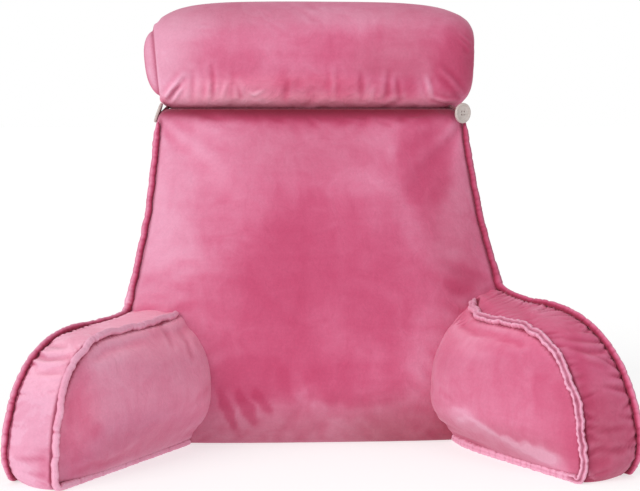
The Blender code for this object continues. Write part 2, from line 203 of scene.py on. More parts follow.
brushing = {
    # what counts as the front, and how far a face turns from it before its marks fade
    "facing": (0.0, -0.94, 0.34),
    "turnedAway": (0.02, 0.30),
    # how a mark's edge wanders: how often to a metre, and how far, and what it is drawn from
    "bigDrift": (17.0, 0.007),
    "smallDrift": (70.0, 0.004),
    "driftSeed": 1795487339,
    # painted highlight on ridges and painted shade in hollows, carried in the nap
    "ridgeHighlight": 0.15,
    "ridgeScale": 0.0006,
    "bendReach": 6,
    "bendEven": 2,
    "creaseShade": 0.30,
    # how much wider the painted shade along a seam gets at the floor, and up to where
    "lowSeamWider": (1.3, 0.016),
}


def seenFromFront(piece):
    return ease(normalsOf(piece) @ np.array(brushing["facing"]), *brushing["turnedAway"])


def lineDistance(points, line):
    # Signed distance to a line of points in a plane, and how far along it the nearest place lies.
    nearest = np.full(len(points), 1e9)
    signed, along = np.zeros(len(points)), np.zeros(len(points))
    ends = [np.array(point) for point in line]
    lengths = [float(np.linalg.norm(b - a)) for a, b in zip(ends, ends[1:])]
    travelled = 0.0
    for start, end, length in zip(ends, ends[1:], lengths):
        direction = (end - start) / length
        offset = points - start
        t = np.clip(offset @ direction, 0, length)
        gapTo = offset - t[:, None] * direction
        distance = np.linalg.norm(gapTo, axis=1)
        closer = distance < nearest
        side = np.sign(gapTo[:, 0] * direction[1] - gapTo[:, 1] * direction[0])
        nearest[closer] = distance[closer]
        signed[closer] = (distance * side)[closer]
        along[closer] = ((travelled + t) / sum(lengths))[closer]
        travelled += length
    return signed, along


def addFolds(piece, folds, plane=None, seen=None, fromSeam=False):
    places = placesOf(piece)
    if plane is None:
        plane, seen = places[:, [0, 2]], seenFromFront(piece)
    move, creases = np.zeros(len(places)), np.zeros(len(places))
    for line, width, depth in folds:
        signed, along = lineDistance(plane, line)
        if fromSeam:
            taper = (1 - along) ** 0.8
        else:
            taper = np.sin(math.pi * np.clip(0.04 + 0.92 * along, 0, 1)) ** 0.6
        taper *= np.exp(-np.maximum(np.abs(signed) - 4 * width, 0) / width)
        valley = np.exp(-((signed / width) ** 2))
        beside = np.exp(-(((np.abs(signed) - 1.9 * width) / (1.1 * width)) ** 2))
        move += depth * taper * (0.45 * beside - valley)
        # painted shade along the valley of each fold
        if depth > 0:
            dark = brushing["creaseShade"] * min(depth / 0.002, 1.0)
            creases = np.maximum(creases, dark * taper * np.exp(-((signed / (0.8 * width)) ** 2)))
    movePlaces(piece, places + (move * seen)[:, None] * normalsOf(piece))
    return creases * seen


def gathers(draw, seam, ends, away, looks):
    # Short folds that start on a seam at this level and fade out as they leave it.
    spacing, reach, width, depth, lean = looks
    folds = []
    place = ends[0] + spacing * draw.random()
    while place < ends[1]:
        length = reach * draw.uniform(0.35, 1.0)
        side = lean * draw.uniform(-1.0, 1.0) * length
        size = draw.uniform(0.7, 1.4)
        halfway = (place + 0.6 * side, seam + 0.5 * away * length)
        line = ((place, seam), halfway, (place + side, seam + away * length))
        folds.append((line, width * size, depth * draw.uniform(0.4, 1.0) * draw.choice((1, 1, -0.6))))
        place += spacing * draw.uniform(0.4, 1.7)
    return folds


def seamShade(piece, seams, look, closed=False, radius=0.0):
    # Dents the surface beside each seam and returns painted shade along it.
    width, strength, dent = look
    places = placesOf(piece)
    nearest = np.full(len(places), 1e9)
    for seam in seams:
        low, high = seam.min(axis=0) - 4 * width, seam.max(axis=0) + 4 * width
        near = np.nonzero(((places > low) & (places < high)).all(axis=1))[0]
        ends = list(zip(seam, np.roll(seam, -1, axis=0)))
        for start, end in ends if closed else ends[:-1]:
            span = end - start
            length = max(float(span @ span), 1e-12)
            offset = places[near] - start
            t = np.clip(offset @ span / length, 0, 1)
            distance = np.linalg.norm(offset - t[:, None] * span, axis=1)
            nearest[near] = np.minimum(nearest[near], distance)
    most, reach = brushing["lowSeamWider"]
    wider = 1 + most * np.exp(-((places[:, 2] / reach) ** 2))
    beside = np.exp(-((np.maximum(nearest - radius, 0) / (width * wider)) ** 2))
    movePlaces(piece, places - (dent * beside)[:, None] * normalsOf(piece))
    return strength * beside


def brushed(piece, marks):
    # Without a seed of its own, this noise would differ each time.
    noise.seed_set(brushing["driftSeed"])
    places = placesOf(piece)
    plane = places[:, [0, 2]].copy()
    for scale, reach in (brushing["bigDrift"], brushing["smallDrift"]):
        drift = np.array([noise.noise_vector(Vector(place) * scale) for place in places])
        plane += drift[:, [0, 2]] * reach
    nap = np.zeros(len(places))
    for x, z, halfWidth, halfHeight, turn, strength, soft in marks:
        c, w = math.cos(math.radians(turn)), math.sin(math.radians(turn))
        across = ((plane[:, 0] - x) * c + (plane[:, 1] - z) * w) / halfWidth
        upwards = ((plane[:, 1] - z) * c - (plane[:, 0] - x) * w) / halfHeight
        distance = np.minimum(np.hypot(across, upwards), 6.0)
        nap += strength / (1 + np.exp((distance - 1) / soft))
    return nap * seenFromFront(piece)


def dimmed(piece, shades):
    # Painted shade in soft areas, painted light where the strength is below 0: x, z, half width, half height,
    # strength.
    places = placesOf(piece)
    dim = np.zeros(len(places))
    for x, z, halfWidth, halfHeight, strength in shades:
        distance = np.hypot((places[:, 0] - x) / halfWidth, (places[:, 2] - z) / halfHeight)
        dim += strength * np.exp(-(distance**4))
    return dim


def bendOf(piece):
    # Above 0 on a ridge, below 0 in a hollow, evened out over a few millimetres.
    places, normals = placesOf(piece), normalsOf(piece)
    first, second = rowsOf(piece.data.edges, "vertices", 2, np.int32).T
    count = np.bincount(np.append(first, second), minlength=len(places)).astype(float)

    def neighbours(values):
        total = np.zeros_like(values)
        np.add.at(total, first, values[second])
        np.add.at(total, second, values[first])
        return total / count[:, None]

    smooth = places
    for _ in range(brushing["bendReach"]):
        smooth = neighbours(smooth)
    bend = ((places - smooth) * normals).sum(axis=1)[:, None]
    for _ in range(brushing["bendEven"]):
        bend = 0.5 * bend + 0.5 * neighbours(bend)
    return bend[:, 0]


def storeLook(piece, nap, creases, dim):
    # Stores the nap with a painted highlight on ridges and painted shade in hollows, the painted shade of
    # folds and seams, and the painted shade and light of dim.
    bend = np.tanh(bendOf(piece) / brushing["ridgeScale"])
    for name, amounts in (("nap", nap + brushing["ridgeHighlight"] * bend), ("fold", creases), ("dim", dim)):
        mark = piece.data.attributes.new(name, "FLOAT", "POINT")
        mark.data.foreach_set("value", amounts.astype(np.float32))


# The backrest: one row for each height, with a seam up each of its four corners.

backrest = {
    "rows": (
        # height, half width, front seam y, front crown, back seam y, back crown
        (0.000, 0.263, -0.086, 0.034, 0.112, 0.008),
        (0.060, 0.263, -0.092, 0.040, 0.117, 0.014),
        (0.120, 0.258, -0.087, 0.040, 0.120, 0.020),
        (0.180, 0.249, -0.072, 0.038, 0.121, 0.022),
        (0.240, 0.235, -0.050, 0.038, 0.121, 0.022),
        (0.300, 0.223, -0.025, 0.038, 0.121, 0.020),
        (0.360, 0.215, -0.003, 0.036, 0.121, 0.018),
        (0.439, 0.207, 0.020, 0.030, 0.121, 0.014),
    ),
    "height": 0.439,
    "topRound": 0.015,
    "baseRound": 0.012,
    "sideCrown": 0.006,
    "topLean": -0.0035,
    "backNarrowing": 0.008,
    "panelPower": 3.2,
    "panelEdge": 0.62,
    "frontSteps": 88,
    "sideSteps": 26,
    "backSteps": 52,
    "wallSteps": 64,
    "roundSteps": 6,
    "capSteps": 7,
    # how long the middle line of a closed end is, as a share
    "capSpine": 0.7,
    "seamShade": (0.0030, 0.65, 0.0012),
    # brush marks in the pile: x, z, half width, half height, turn, paler or deeper, softness
    "marks": (
        (-0.203, 0.332, 0.060, 0.120, 0, 0.30, 0.35),
        (-0.222, 0.265, 0.034, 0.075, 6, 0.18, 0.30),
        (0.125, 0.022, 0.060, 0.028, 0, -0.12, 0.15),
        (-0.177, 0.201, 0.045, 0.022, 0, -0.10, 0.20),
        (0.005, 0.190, 0.115, 0.135, 0, -0.20, 0.10),
        (-0.100, 0.385, 0.080, 0.040, 0, 0.06, 0.30),
        (0.063, 0.343, 0.030, 0.018, 10, 0.16, 0.25),
        (0.092, 0.386, 0.026, 0.015, -20, 0.12, 0.25),
        (0.146, 0.365, 0.036, 0.062, 0, -0.22, 0.12),
        (0.193, 0.318, 0.018, 0.075, -8, 0.16, 0.30),
        (0.187, 0.213, 0.025, 0.022, 30, -0.22, 0.20),
        (-0.013, 0.026, 0.185, 0.029, 0, 0.12, 0.08),
        (-0.032, 0.080, 0.010, 0.026, 28, 0.16, 0.12),
        (-0.014, 0.064, 0.017, 0.017, 0, 0.14, 0.12),
        (-0.119, 0.046, 0.0075, 0.030, 28, -0.34, 0.12),
        (-0.095, 0.050, 0.0065, 0.026, 30, -0.34, 0.12),
        (-0.076, 0.055, 0.0065, 0.020, 32, -0.30, 0.12),
        (-0.090, 0.090, 0.052, 0.030, 0, -0.17, 0.08),
        (0.040, 0.080, 0.085, 0.028, 0, -0.08, 0.06),
        (0.062, 0.095, 0.024, 0.036, 0, 0.14, 0.20),
        (0.013, 0.147, 0.020, 0.028, 0, 0.10, 0.30),
        (0.127, 0.100, 0.018, 0.045, 0, 0.12, 0.30),
        # painted shade under the roll, drawn in the nap
        (0.000, 0.434, 0.215, 0.013, 0, -0.50, 0.25),
        (-0.050, 0.300, 0.012, 0.060, 4, -0.07, 0.30),
        (-0.022, 0.255, 0.010, 0.075, -3, -0.08, 0.30),
        (0.028, 0.270, 0.011, 0.070, 3, 0.06, 0.30),
        (0.072, 0.240, 0.016, 0.060, -4, 0.04, 0.30),
        (-0.150, 0.300, 0.018, 0.050, 8, -0.07, 0.30),
        (0.118, 0.300, 0.016, 0.030, 20, 0.09, 0.25),
        (-0.125, 0.120, 0.020, 0.040, 10, -0.08, 0.25),
    ),
    # folds: a line of x, z, then width and depth, a ridge where the depth is below 0
    "folds": (
        (((-0.007, 0.430), (0.009, 0.417)), 0.0024, -0.0010),
        (((0.030, 0.424), (0.046, 0.426), (0.068, 0.421)), 0.0024, -0.0010),
        (((0.119, 0.428), (0.133, 0.424), (0.150, 0.427)), 0.0024, -0.0010),
        (((-0.150, 0.424), (-0.128, 0.419)), 0.0028, -0.0008),
        (((-0.060, 0.426), (-0.038, 0.421)), 0.0026, 0.0008),
        (((0.085, 0.422), (0.104, 0.415)), 0.0026, 0.0008),
    ),
    # painted shade in soft areas, painted light where the strength is below 0: x, z, half width, half height,
    # strength
    "shades": (
        (0.0, -0.020, 0.300, 0.080, 0.26),
        (0.0, 0.446, 0.300, 0.020, 0.22),
        (0.130, 0.020, 0.090, 0.060, 0.13),
        (0.200, 0.060, 0.050, 0.150, 0.10),
        (-0.010, 0.395, 0.100, 0.050, 0.06),
        (0.185, 0.285, 0.045, 0.080, 0.10),
    ),
    # painted shade under the roll: strength, reach
    "shadeUnderRoll": (1.0, 0.012),
    "stuffing": {"pressure": 2.6, "slack": 0.003, "frames": 18, "most": 0.009, "bending": 0.6},
}


def cornerInset(height):
    pastTop = height - backrest["height"] + backrest["topRound"]
    pastBase = backrest["baseRound"] - height
    for past, radius in ((pastTop, backrest["topRound"]), (pastBase, backrest["baseRound"])):
        if past > 0:
            return radius - math.sqrt(max(radius**2 - past**2, 0.0))
    return 0.0


def backrestSection(height):
    halfWidth, seamY, crown, backY, backCrown = tableRow(backrest["rows"], height)
    inset = cornerInset(height)
    return halfWidth - inset, seamY + inset, crown, backY - inset, backCrown


def backrestMiddle(height):
    return backrest["topLean"] * (height / backrest["height"]) ** 2


def panelRise(across):
    return (1 - abs(across) ** backrest["panelPower"]) ** backrest["panelEdge"]


def spread(t):
    # From -1 to 1, a little closer together towards both ends.
    return 0.55 * (2 * t - 1) + 0.45 * math.sin(math.pi * (t - 0.5))


def backrestRing(height):
    halfWidth, seamY, crown, backY, backCrown = backrestSection(height)
    backHalf = halfWidth - backrest["backNarrowing"]
    middle = backrestMiddle(height)
    front, right, back = [], [], []
    for k in range(backrest["frontSteps"]):
        across = spread(k / backrest["frontSteps"])
        front.append((halfWidth * across, seamY - crown * panelRise(across)))
    for k in range(backrest["sideSteps"]):
        t = k / backrest["sideSteps"]
        x = halfWidth - backrest["backNarrowing"] * t + backrest["sideCrown"] * math.sin(math.pi * t)
        right.append((x, seamY + (backY - seamY) * t))
    for k in range(backrest["backSteps"] + 1):
        across = -spread(k / backrest["backSteps"])
        back.append((backHalf * across, backY + backCrown * panelRise(across)))
    left = [(-x, y) for x, y in reversed(right[1:])]
    return [(x + middle, y, height) for x, y in front + right + back + left]


def backrestHeights():
    low, high = backrest["baseRound"], backrest["height"] - backrest["topRound"]
    quarter = [0.5 * math.pi * k / backrest["roundSteps"] for k in range(backrest["roundSteps"] + 1)]
    base = [low * (1 - math.cos(angle)) for angle in quarter[:-1]]
    wall = [low + (high - low) * k / backrest["wallSteps"] for k in range(backrest["wallSteps"])]
    return base + wall + [high + backrest["topRound"] * math.sin(angle) for angle in quarter]


def ringFaces(first, second, count):
    return [(first + k, first + (k + 1) % count, second + (k + 1) % count, second + k) for k in range(count)]


def capRings(points, faces, ring, count, steps):
    # Closes an end with rings that shrink onto the ring's long middle line.
    edge = np.array(points[ring:ring + count])
    middle = edge.mean(axis=0)
    spine = edge.copy()
    spine[:, 1:] = middle[1:]
    spine[:, 0] = middle[0] + (edge[:, 0] - middle[0]) * backrest["capSpine"]
    last = ring
    for k in range(1, steps):
        share = k / steps
        start = len(points)
        points.extend(tuple(p) for p in edge + (spine - edge) * share)
        faces.extend(ringFaces(last, start, count))
        last = start
    points.append(tuple(middle))
    hub = len(points) - 1
    faces.extend((last + k, last + (k + 1) % count, hub) for k in range(count))


def makeBackrest():
    heights = backrestHeights()
    count = backrest["frontSteps"] + 2 * backrest["sideSteps"] + backrest["backSteps"]
    points, faces = [], []
    for row, height in enumerate(heights):
        points.extend(backrestRing(height))
        if row:
            faces.extend(ringFaces((row - 1) * count, row * count, count))
    rings = len(heights)
    grid = np.array(points).reshape(rings, count, 3)
    frontRight = backrest["frontSteps"]
    backRight = frontRight + backrest["sideSteps"]
    backLeft = backRight + backrest["backSteps"]
    capRings(points, faces, 0, count, backrest["capSteps"])
    capRings(points, faces, (rings - 1) * count, count, backrest["capSteps"])
    # held along its four upright seams, at the foot, and over the top and the base
    held = np.ones(len(points), bool)
    held[count:(rings - 2) * count] = False
    for seam in (0, frontRight, backRight, backLeft):
        held[seam:rings * count:count] = True
    piece = meshPiece("velvetBackrest", points, faces)
    facesOut(piece)
    stuff(piece, held, backrest["stuffing"])
    subdivide(piece)
    creases = addFolds(piece, backrest["folds"])
    sides = [weltMiddle(*weltLines(name)[0]) for name in arms]
    backSeams = [grid[:, backRight], grid[:, backLeft]]
    for seams, radius in ((sides, welts["halfWidth"]), (backSeams, 0.0)):
        creases = np.maximum(creases, seamShade(piece, seams, backrest["seamShade"], radius=radius))
    strength, reach = backrest["shadeUnderRoll"]
    below = np.maximum(backrest["height"] - placesOf(piece)[:, 2], 0.0)
    creases = np.maximum(creases, strength * np.exp(-((below / reach) ** 2)))
    storeLook(piece, brushed(piece, backrest["marks"]), creases, dimmed(piece, backrest["shades"]))
    return piece


# The arms: s runs out from the root, the band's width runs across, and z runs up.

arms = {
    "left": {
        "side": -1, "rootX": 0.173, "rootY": -0.100, "splay": 28.2, "band": 0.067,
        # how far the inner edge is drawn outwards at the root: at the floor and at the top
        "rootOut": (0.000, 0.013),
        "bulge": 0.051,
        # length, height, nose length, nose power, bottom corner radius, rise at the root
        "inner": (0.319, 0.169, 0.130, 2.5, 0.008, 0.005),
        "outer": (0.320, 0.168, 0.170, 2.45, 0.040, 0.004),
        # painted shade on the inner panel and the band, painted light where below 0
        "panelShade": (-0.09, -0.03),
        "shades": (
            (-0.235, 0.018, 0.090, 0.052, 0.17),
            (-0.300, 0.074, 0.028, 0.050, -0.11),
            (-0.255, 0.180, 0.070, 0.020, -0.055),
            (-0.350, 0.070, 0.025, 0.060, 0.04),
        ),
        "innerNap": 0.24,
        "bandNap": 0.48,
        # along each seam of the band: spacing, reach, width, depth, lean
        "gathers": {
            "inner": (0.012, 0.028, 0.0020, 0.0016, 0.6),
            "outer": (0.010, 0.036, 0.0021, 0.0020, 0.6),
            "seed": 4,
        },
        "marks": (
            (-0.300, 0.100, 0.016, 0.075, 0, -0.20, 0.25),
            (-0.278, 0.062, 0.007, 0.010, 20, -0.18, 0.25),
            (-0.285, 0.078, 0.005, 0.008, -30, -0.10, 0.25),
            (-0.257, 0.147, 0.022, 0.012, 20, 0.10, 0.30),
            (-0.235, 0.026, 0.085, 0.026, 12, -0.19, 0.30),
            (-0.345, 0.040, 0.030, 0.010, -6, -0.16, 0.30),
            (-0.334, 0.026, 0.010, 0.024, 0, -0.18, 0.25),
            (-0.364, 0.012, 0.014, 0.012, 0, 0.14, 0.30),
            (-0.330, 0.128, 0.022, 0.034, -20, 0.05, 0.30),
            (-0.200, 0.180, 0.050, 0.012, 5, -0.16, 0.30),
        ),
        "folds": (
            (((-0.357, 0.153), (-0.335, 0.156), (-0.314, 0.158)), 0.0028, 0.0018),
            (((-0.358, 0.146), (-0.335, 0.146), (-0.309, 0.150)), 0.0030, 0.0030),
            (((-0.355, 0.139), (-0.312, 0.142)), 0.0026, -0.0014),
            (((-0.348, 0.130), (-0.316, 0.133)), 0.0026, 0.0013),
            (((-0.372, 0.034), (-0.333, 0.038)), 0.0034, 0.0014),
            (((-0.364, 0.021), (-0.334, 0.017)), 0.0030, 0.0012),
            (((-0.209, 0.168), (-0.199, 0.158), (-0.188, 0.140)), 0.0030, 0.0013),
            (((-0.183, 0.155), (-0.172, 0.141), (-0.164, 0.120)), 0.0030, 0.0013),
        ),
    },
    "right": {
        "side": 1, "rootX": 0.165, "rootY": -0.100, "splay": 25.0, "band": 0.074,
        "rootOut": (0.021, 0.053),
        "bulge": 0.058,
        "inner": (0.308, 0.173, 0.150, 2.4, 0.008, 0.018),
        "outer": (0.321, 0.190, 0.205, 2.30, 0.046, 0.006),
        "innerNap": 0.09,
        "bandNap": -0.10,
        "panelShade": (0.03, 0.13),
        "shades": (
            (0.290, 0.060, 0.040, 0.080, 0.04),
            (0.205, 0.030, 0.070, 0.026, 0.15),
            (0.325, 0.032, 0.036, 0.048, 0.08),
        ),
        "gathers": {
            "inner": (0.009, 0.036, 0.0022, 0.0030, 0.8),
            "outer": (0.009, 0.044, 0.0022, 0.0030, 0.8),
            "seed": 9,
        },
        "marks": (
            (0.166, 0.052, 0.016, 0.013, 20, 0.28, 0.10),
            (0.182, 0.044, 0.013, 0.011, -10, 0.28, 0.08),
            (0.192, 0.040, 0.010, 0.009, 15, 0.20, 0.08),
            (0.206, 0.033, 0.011, 0.011, -20, 0.32, 0.08),
            (0.222, 0.036, 0.007, 0.010, 20, 0.30, 0.08),
            (0.234, 0.032, 0.010, 0.010, 10, 0.24, 0.08),
            (0.249, 0.023, 0.018, 0.012, -15, 0.36, 0.12),
            (0.265, 0.024, 0.010, 0.008, 0, 0.16, 0.20),
            (0.220, 0.012, 0.070, 0.012, 0, 0.12, 0.30),
            (0.148, 0.080, 0.012, 0.040, 0, 0.05, 0.30),
            (0.192, 0.036, 0.036, 0.013, -14, 0.12, 0.25),
            (0.240, 0.024, 0.034, 0.012, -8, 0.10, 0.25),
            (0.286, 0.030, 0.008, 0.030, 0, -0.16, 0.30),
            (0.270, 0.090, 0.022, 0.060, 10, -0.14, 0.25),
            (0.152, 0.095, 0.014, 0.060, 0, -0.06, 0.30),
            (0.235, 0.120, 0.040, 0.035, 20, -0.08, 0.25),
            (0.180, 0.150, 0.020, 0.018, 30, 0.08, 0.35),
            (0.298, 0.080, 0.007, 0.075, 0, -0.22, 0.35),
            (0.261, 0.193, 0.022, 0.006, -20, 0.26, 0.35),
        ),
        "folds": (
            (((0.286, 0.163), (0.330, 0.157)), 0.0028, 0.0014),
            (((0.290, 0.154), (0.312, 0.149), (0.335, 0.147)), 0.0030, 0.0018),
            (((0.302, 0.144), (0.330, 0.136)), 0.0028, -0.0013),
            (((0.306, 0.060), (0.350, 0.064)), 0.0034, 0.0012),
            (((0.310, 0.040), (0.352, 0.036)), 0.0034, 0.0013),
            (((0.187, 0.171), (0.197, 0.183)), 0.0022, -0.0012),
            (((0.262, 0.200), (0.285, 0.190)), 0.0030, -0.0014),
        ),
    },
}

armShape = {
    "hiddenRoot": 0.085,
    "hiddenPower": 2.6,
    "riseReach": 0.100,
    "flare": 0.020,
    "flareReach": 0.110,
    "bandCrown": 0.008,
    # s and z of each panel's middle
    "innerMiddle": (0.060, 0.080),
    "outerMiddle": (0.120, 0.080),
    "outerBulge": 0.020,
    "crownPower": 2.2,
    "crownEdge": 0.9,
    "steps": (40, 10, 44, 24, 26),
    "bandSteps": 20,
    "grid": 0.0052,
    "tuck": 0.006,
    # how much flatter a panel lies just above the floor, and up to where
    "lowPanel": (0.60, 0.022),
    # reach beside a seam, strength of its painted shade line, depth of its dent
    "seamShade": (0.0016, 1.00, 0.0008),
    # painted light on the tops of the arms: how much lighter
    "topLight": 0.24,
    "seamRadius": 0.0056,
    # how far a face leans from one that points in towards the sitter, or up, and over what it fades
    "innerFaces": (0.35, 0.3),
    "bandFaces": (0.65, -0.3),
    "bandGathered": (0.75, -0.3),
    "topFaces": (0.4, 0.5),
    # what lies below this is held down, and folds start above this
    "onFloor": 0.0015,
    "foldsAbove": 0.002,
    "stuffing": {"pressure": 3.0, "slack": -0.006, "frames": 20, "most": 0.010, "bending": 0.4},
}


def armAxes(arm):
    # Its root on the floor, the way it points, and the way in towards the sitter.
    angle, side = math.radians(arm["splay"]), arm["side"]
    forward = np.array((side * math.sin(angle), -math.cos(angle), 0.0))
    inward = np.array((-side * math.cos(angle), -math.sin(angle), 0.0))
    return np.array((side * arm["rootX"], arm["rootY"], 0.0)), forward, inward


def edgeOutline(edge):
    length, height, nose, power, corner, rise = edge
    bottomSteps, cornerSteps, noseSteps, topSteps, rootSteps = armShape["steps"]
    lift = math.asin((corner / height) ** (power / 2))
    cornerS = length - nose + nose * math.cos(lift) ** (2 / power)
    baseEnd = cornerS - corner
    points = [(baseEnd * k / bottomSteps, 0.0) for k in range(bottomSteps)]
    for k in range(cornerSteps):
        angle = 0.5 * math.pi * k / cornerSteps
        points.append((baseEnd + corner * math.sin(angle), corner - corner * math.cos(angle)))
    for k in range(noseSteps):
        angle = lift + (0.5 * math.pi - lift) * k / noseSteps
        s = length - nose + nose * math.cos(angle) ** (2 / power)
        points.append((s, height * math.sin(angle) ** (2 / power)))
    for k in range(topSteps + 1):
        points.append(((length - nose) * (1 - k / topSteps), height))
    for k in range(1, rootSteps):
        c, w = math.cos(math.pi * k / rootSteps), math.sin(math.pi * k / rootSteps)
        z = 0.5 * height * (1 + math.copysign(abs(c) ** (2 / armShape["hiddenPower"]), c))
        points.append((-armShape["hiddenRoot"] * w ** (2 / armShape["hiddenPower"]), z))
    outline = np.array(points)
    nearRoot = np.maximum(0.0, 1 - np.maximum(outline[:, 0], 0.0) / armShape["riseReach"])
    outline[:, 1] *= 1 + rise / height * nearRoot**2
    return outline


def flared(arm, s):
    # How near the root each place is, from 0 to 1, and how wide the band is there.
    nearRoot = np.maximum(0.0, 1 - np.maximum(s, 0.0) / armShape["flareReach"])
    return nearRoot, arm["band"] + armShape["flare"] * nearRoot**2


def armPlaces(arm, s, across, z):
    root, forward, inward = armAxes(arm)
    nearRoot, width = flared(arm, s)
    low, high = arm["rootOut"]
    drawn = (low + (high - low) * np.clip(z / arm["inner"][1], 0, 1) ** 2) * nearRoot**2
    away = across * width + (1 - across) * drawn
    return root + s[:, None] * forward - away[:, None] * inward + z[:, None] * up


def insideOutline(points, outline):
    inside = np.zeros(len(points), bool)
    ends = np.roll(outline, -1, axis=0)
    for (x0, y0), (x1, y1) in zip(outline, ends):
        crosses = (y0 > points[:, 1]) != (y1 > points[:, 1])
        if y0 != y1:
            inside ^= crosses & (points[:, 0] < x0 + (points[:, 1] - y0) / (y1 - y0) * (x1 - x0))
    return inside


def fillOutline(outline, spacing):
    # Even triangles inside an outline: (points inside, faces over the outline's points and then these).
    low, high = outline.min(axis=0), outline.max(axis=0)
    rowHeight = spacing * math.sqrt(3) / 2
    grid = []
    for row in range(int((high[1] - low[1]) / rowHeight) + 1):
        shift = 0.5 * spacing * (row % 2)
        for column in range(int((high[0] - low[0]) / spacing) + 1):
            grid.append((low[0] + shift + column * spacing, low[1] + row * rowHeight))
    grid = np.array(grid)
    grid = grid[insideOutline(grid, outline)]
    nearest = np.min(np.linalg.norm(grid[:, None] - outline[None], axis=2), axis=1)
    grid = grid[nearest > 0.62 * spacing]
    everything = [Vector(p) for p in outline] + [Vector(p) for p in grid]
    count = len(outline)
    loop = [(k, (k + 1) % count) for k in range(count)]
    made = geometry.delaunay_2d_cdt(everything, loop, [], 1, 1e-7)
    origin = [sources[0] for sources in made[3]]
    return grid, [tuple(origin[i] for i in face) for face in made[2]]


def fillPanel(points, faces, outline, ring, spacing, placed):
    # Fills an outline with even triangles: its own points start at ring, and placed puts the inner ones.
    grid, triangles = fillOutline(outline, spacing)
    start, count = len(points), len(outline)
    points.extend(placed(grid))
    for triangle in triangles:
        faces.append(tuple(ring + i if i < count else start + i - count for i in triangle))


def shareOut(grid, outline, centre):
    # How far out from the centre towards the outline each place lies, from 0 to 1.
    around = np.arctan2(*(outline - centre).T[::-1])
    order = np.argsort(around)
    reach = np.linalg.norm(outline - centre, axis=1)[order]
    edge = np.interp(np.arctan2(*(grid - centre).T[::-1]), around[order], reach, period=2 * math.pi)
    return np.minimum(np.linalg.norm(grid - centre, axis=1) / edge, 1.0)


def panelPlaces(arm, outline, bulge, middle, across, grid):
    _, _, inward = armAxes(arm)
    out = inward if across == 0 else -inward
    share = shareOut(grid, outline, np.array(middle))
    rise = bulge * (1 - share ** armShape["crownPower"]) ** armShape["crownEdge"]
    flatter, reach = armShape["lowPanel"]
    rise *= 1 - flatter * np.exp(-grid[:, 1] / reach)
    flat = armPlaces(arm, grid[:, 0], np.full(len(grid), float(across)), grid[:, 1])
    return flat + rise[:, None] * out


def tuckUnder(piece, body):
    # What lies deep inside the backrest is drawn up to just under its surface.
    graph = bpy.context.evaluated_depsgraph_get()
    tree = bvhtree.BVHTree.FromObject(body, graph)
    places = placesOf(piece)
    for i, place in enumerate(places):
        spot, normal, _, distance = tree.find_nearest(Vector(place))
        if distance > armShape["tuck"] and (Vector(place) - spot).dot(normal) < 0:
            places[i] = spot - normal * armShape["tuck"]
    movePlaces(piece, places)


def addGathers(piece, arm, outline):
    # The band is worked flat: the way along its edge, and the way across from the inner seam.
    root, forward, inward = armAxes(arm)
    places = placesOf(piece)
    s, across = (places - root) @ forward, -((places - root) @ inward)
    _, width = flared(arm, s)
    steps = np.linalg.norm(np.diff(outline, axis=0), axis=1)
    travelled = np.concatenate([[0.0], np.cumsum(steps)])
    nearest, reach = np.zeros(len(places), int), np.full(len(places), 1e9)
    for k, spot in enumerate(outline):
        distance = (s - spot[0]) ** 2 + (places[:, 2] - spot[1]) ** 2
        closer = distance < reach
        nearest[closer], reach[closer] = k, distance[closer]
    follow = unit(np.gradient(outline, axis=0))
    offset = np.column_stack([s, places[:, 2]]) - outline[nearest]
    along = travelled[nearest] + (offset * follow[nearest]).sum(axis=1)
    turned = np.abs(normalsOf(piece) @ inward)
    onBand = ease(turned, *armShape["bandGathered"]) * (places[:, 2] > armShape["foldsAbove"])
    looks, folds = arm["gathers"], []
    draw = random.Random(looks["seed"])
    ends = travelled[armShape["steps"][0]], travelled[sum(armShape["steps"][:4])]
    for edge, level, away in (("inner", 0.0, 1), ("outer", arm["band"], -1)):
        folds += gathers(draw, level, ends, away, looks[edge])
    flat = np.column_stack([along, across / width * arm["band"]])
    return addFolds(piece, folds, flat, onBand, fromSeam=True)


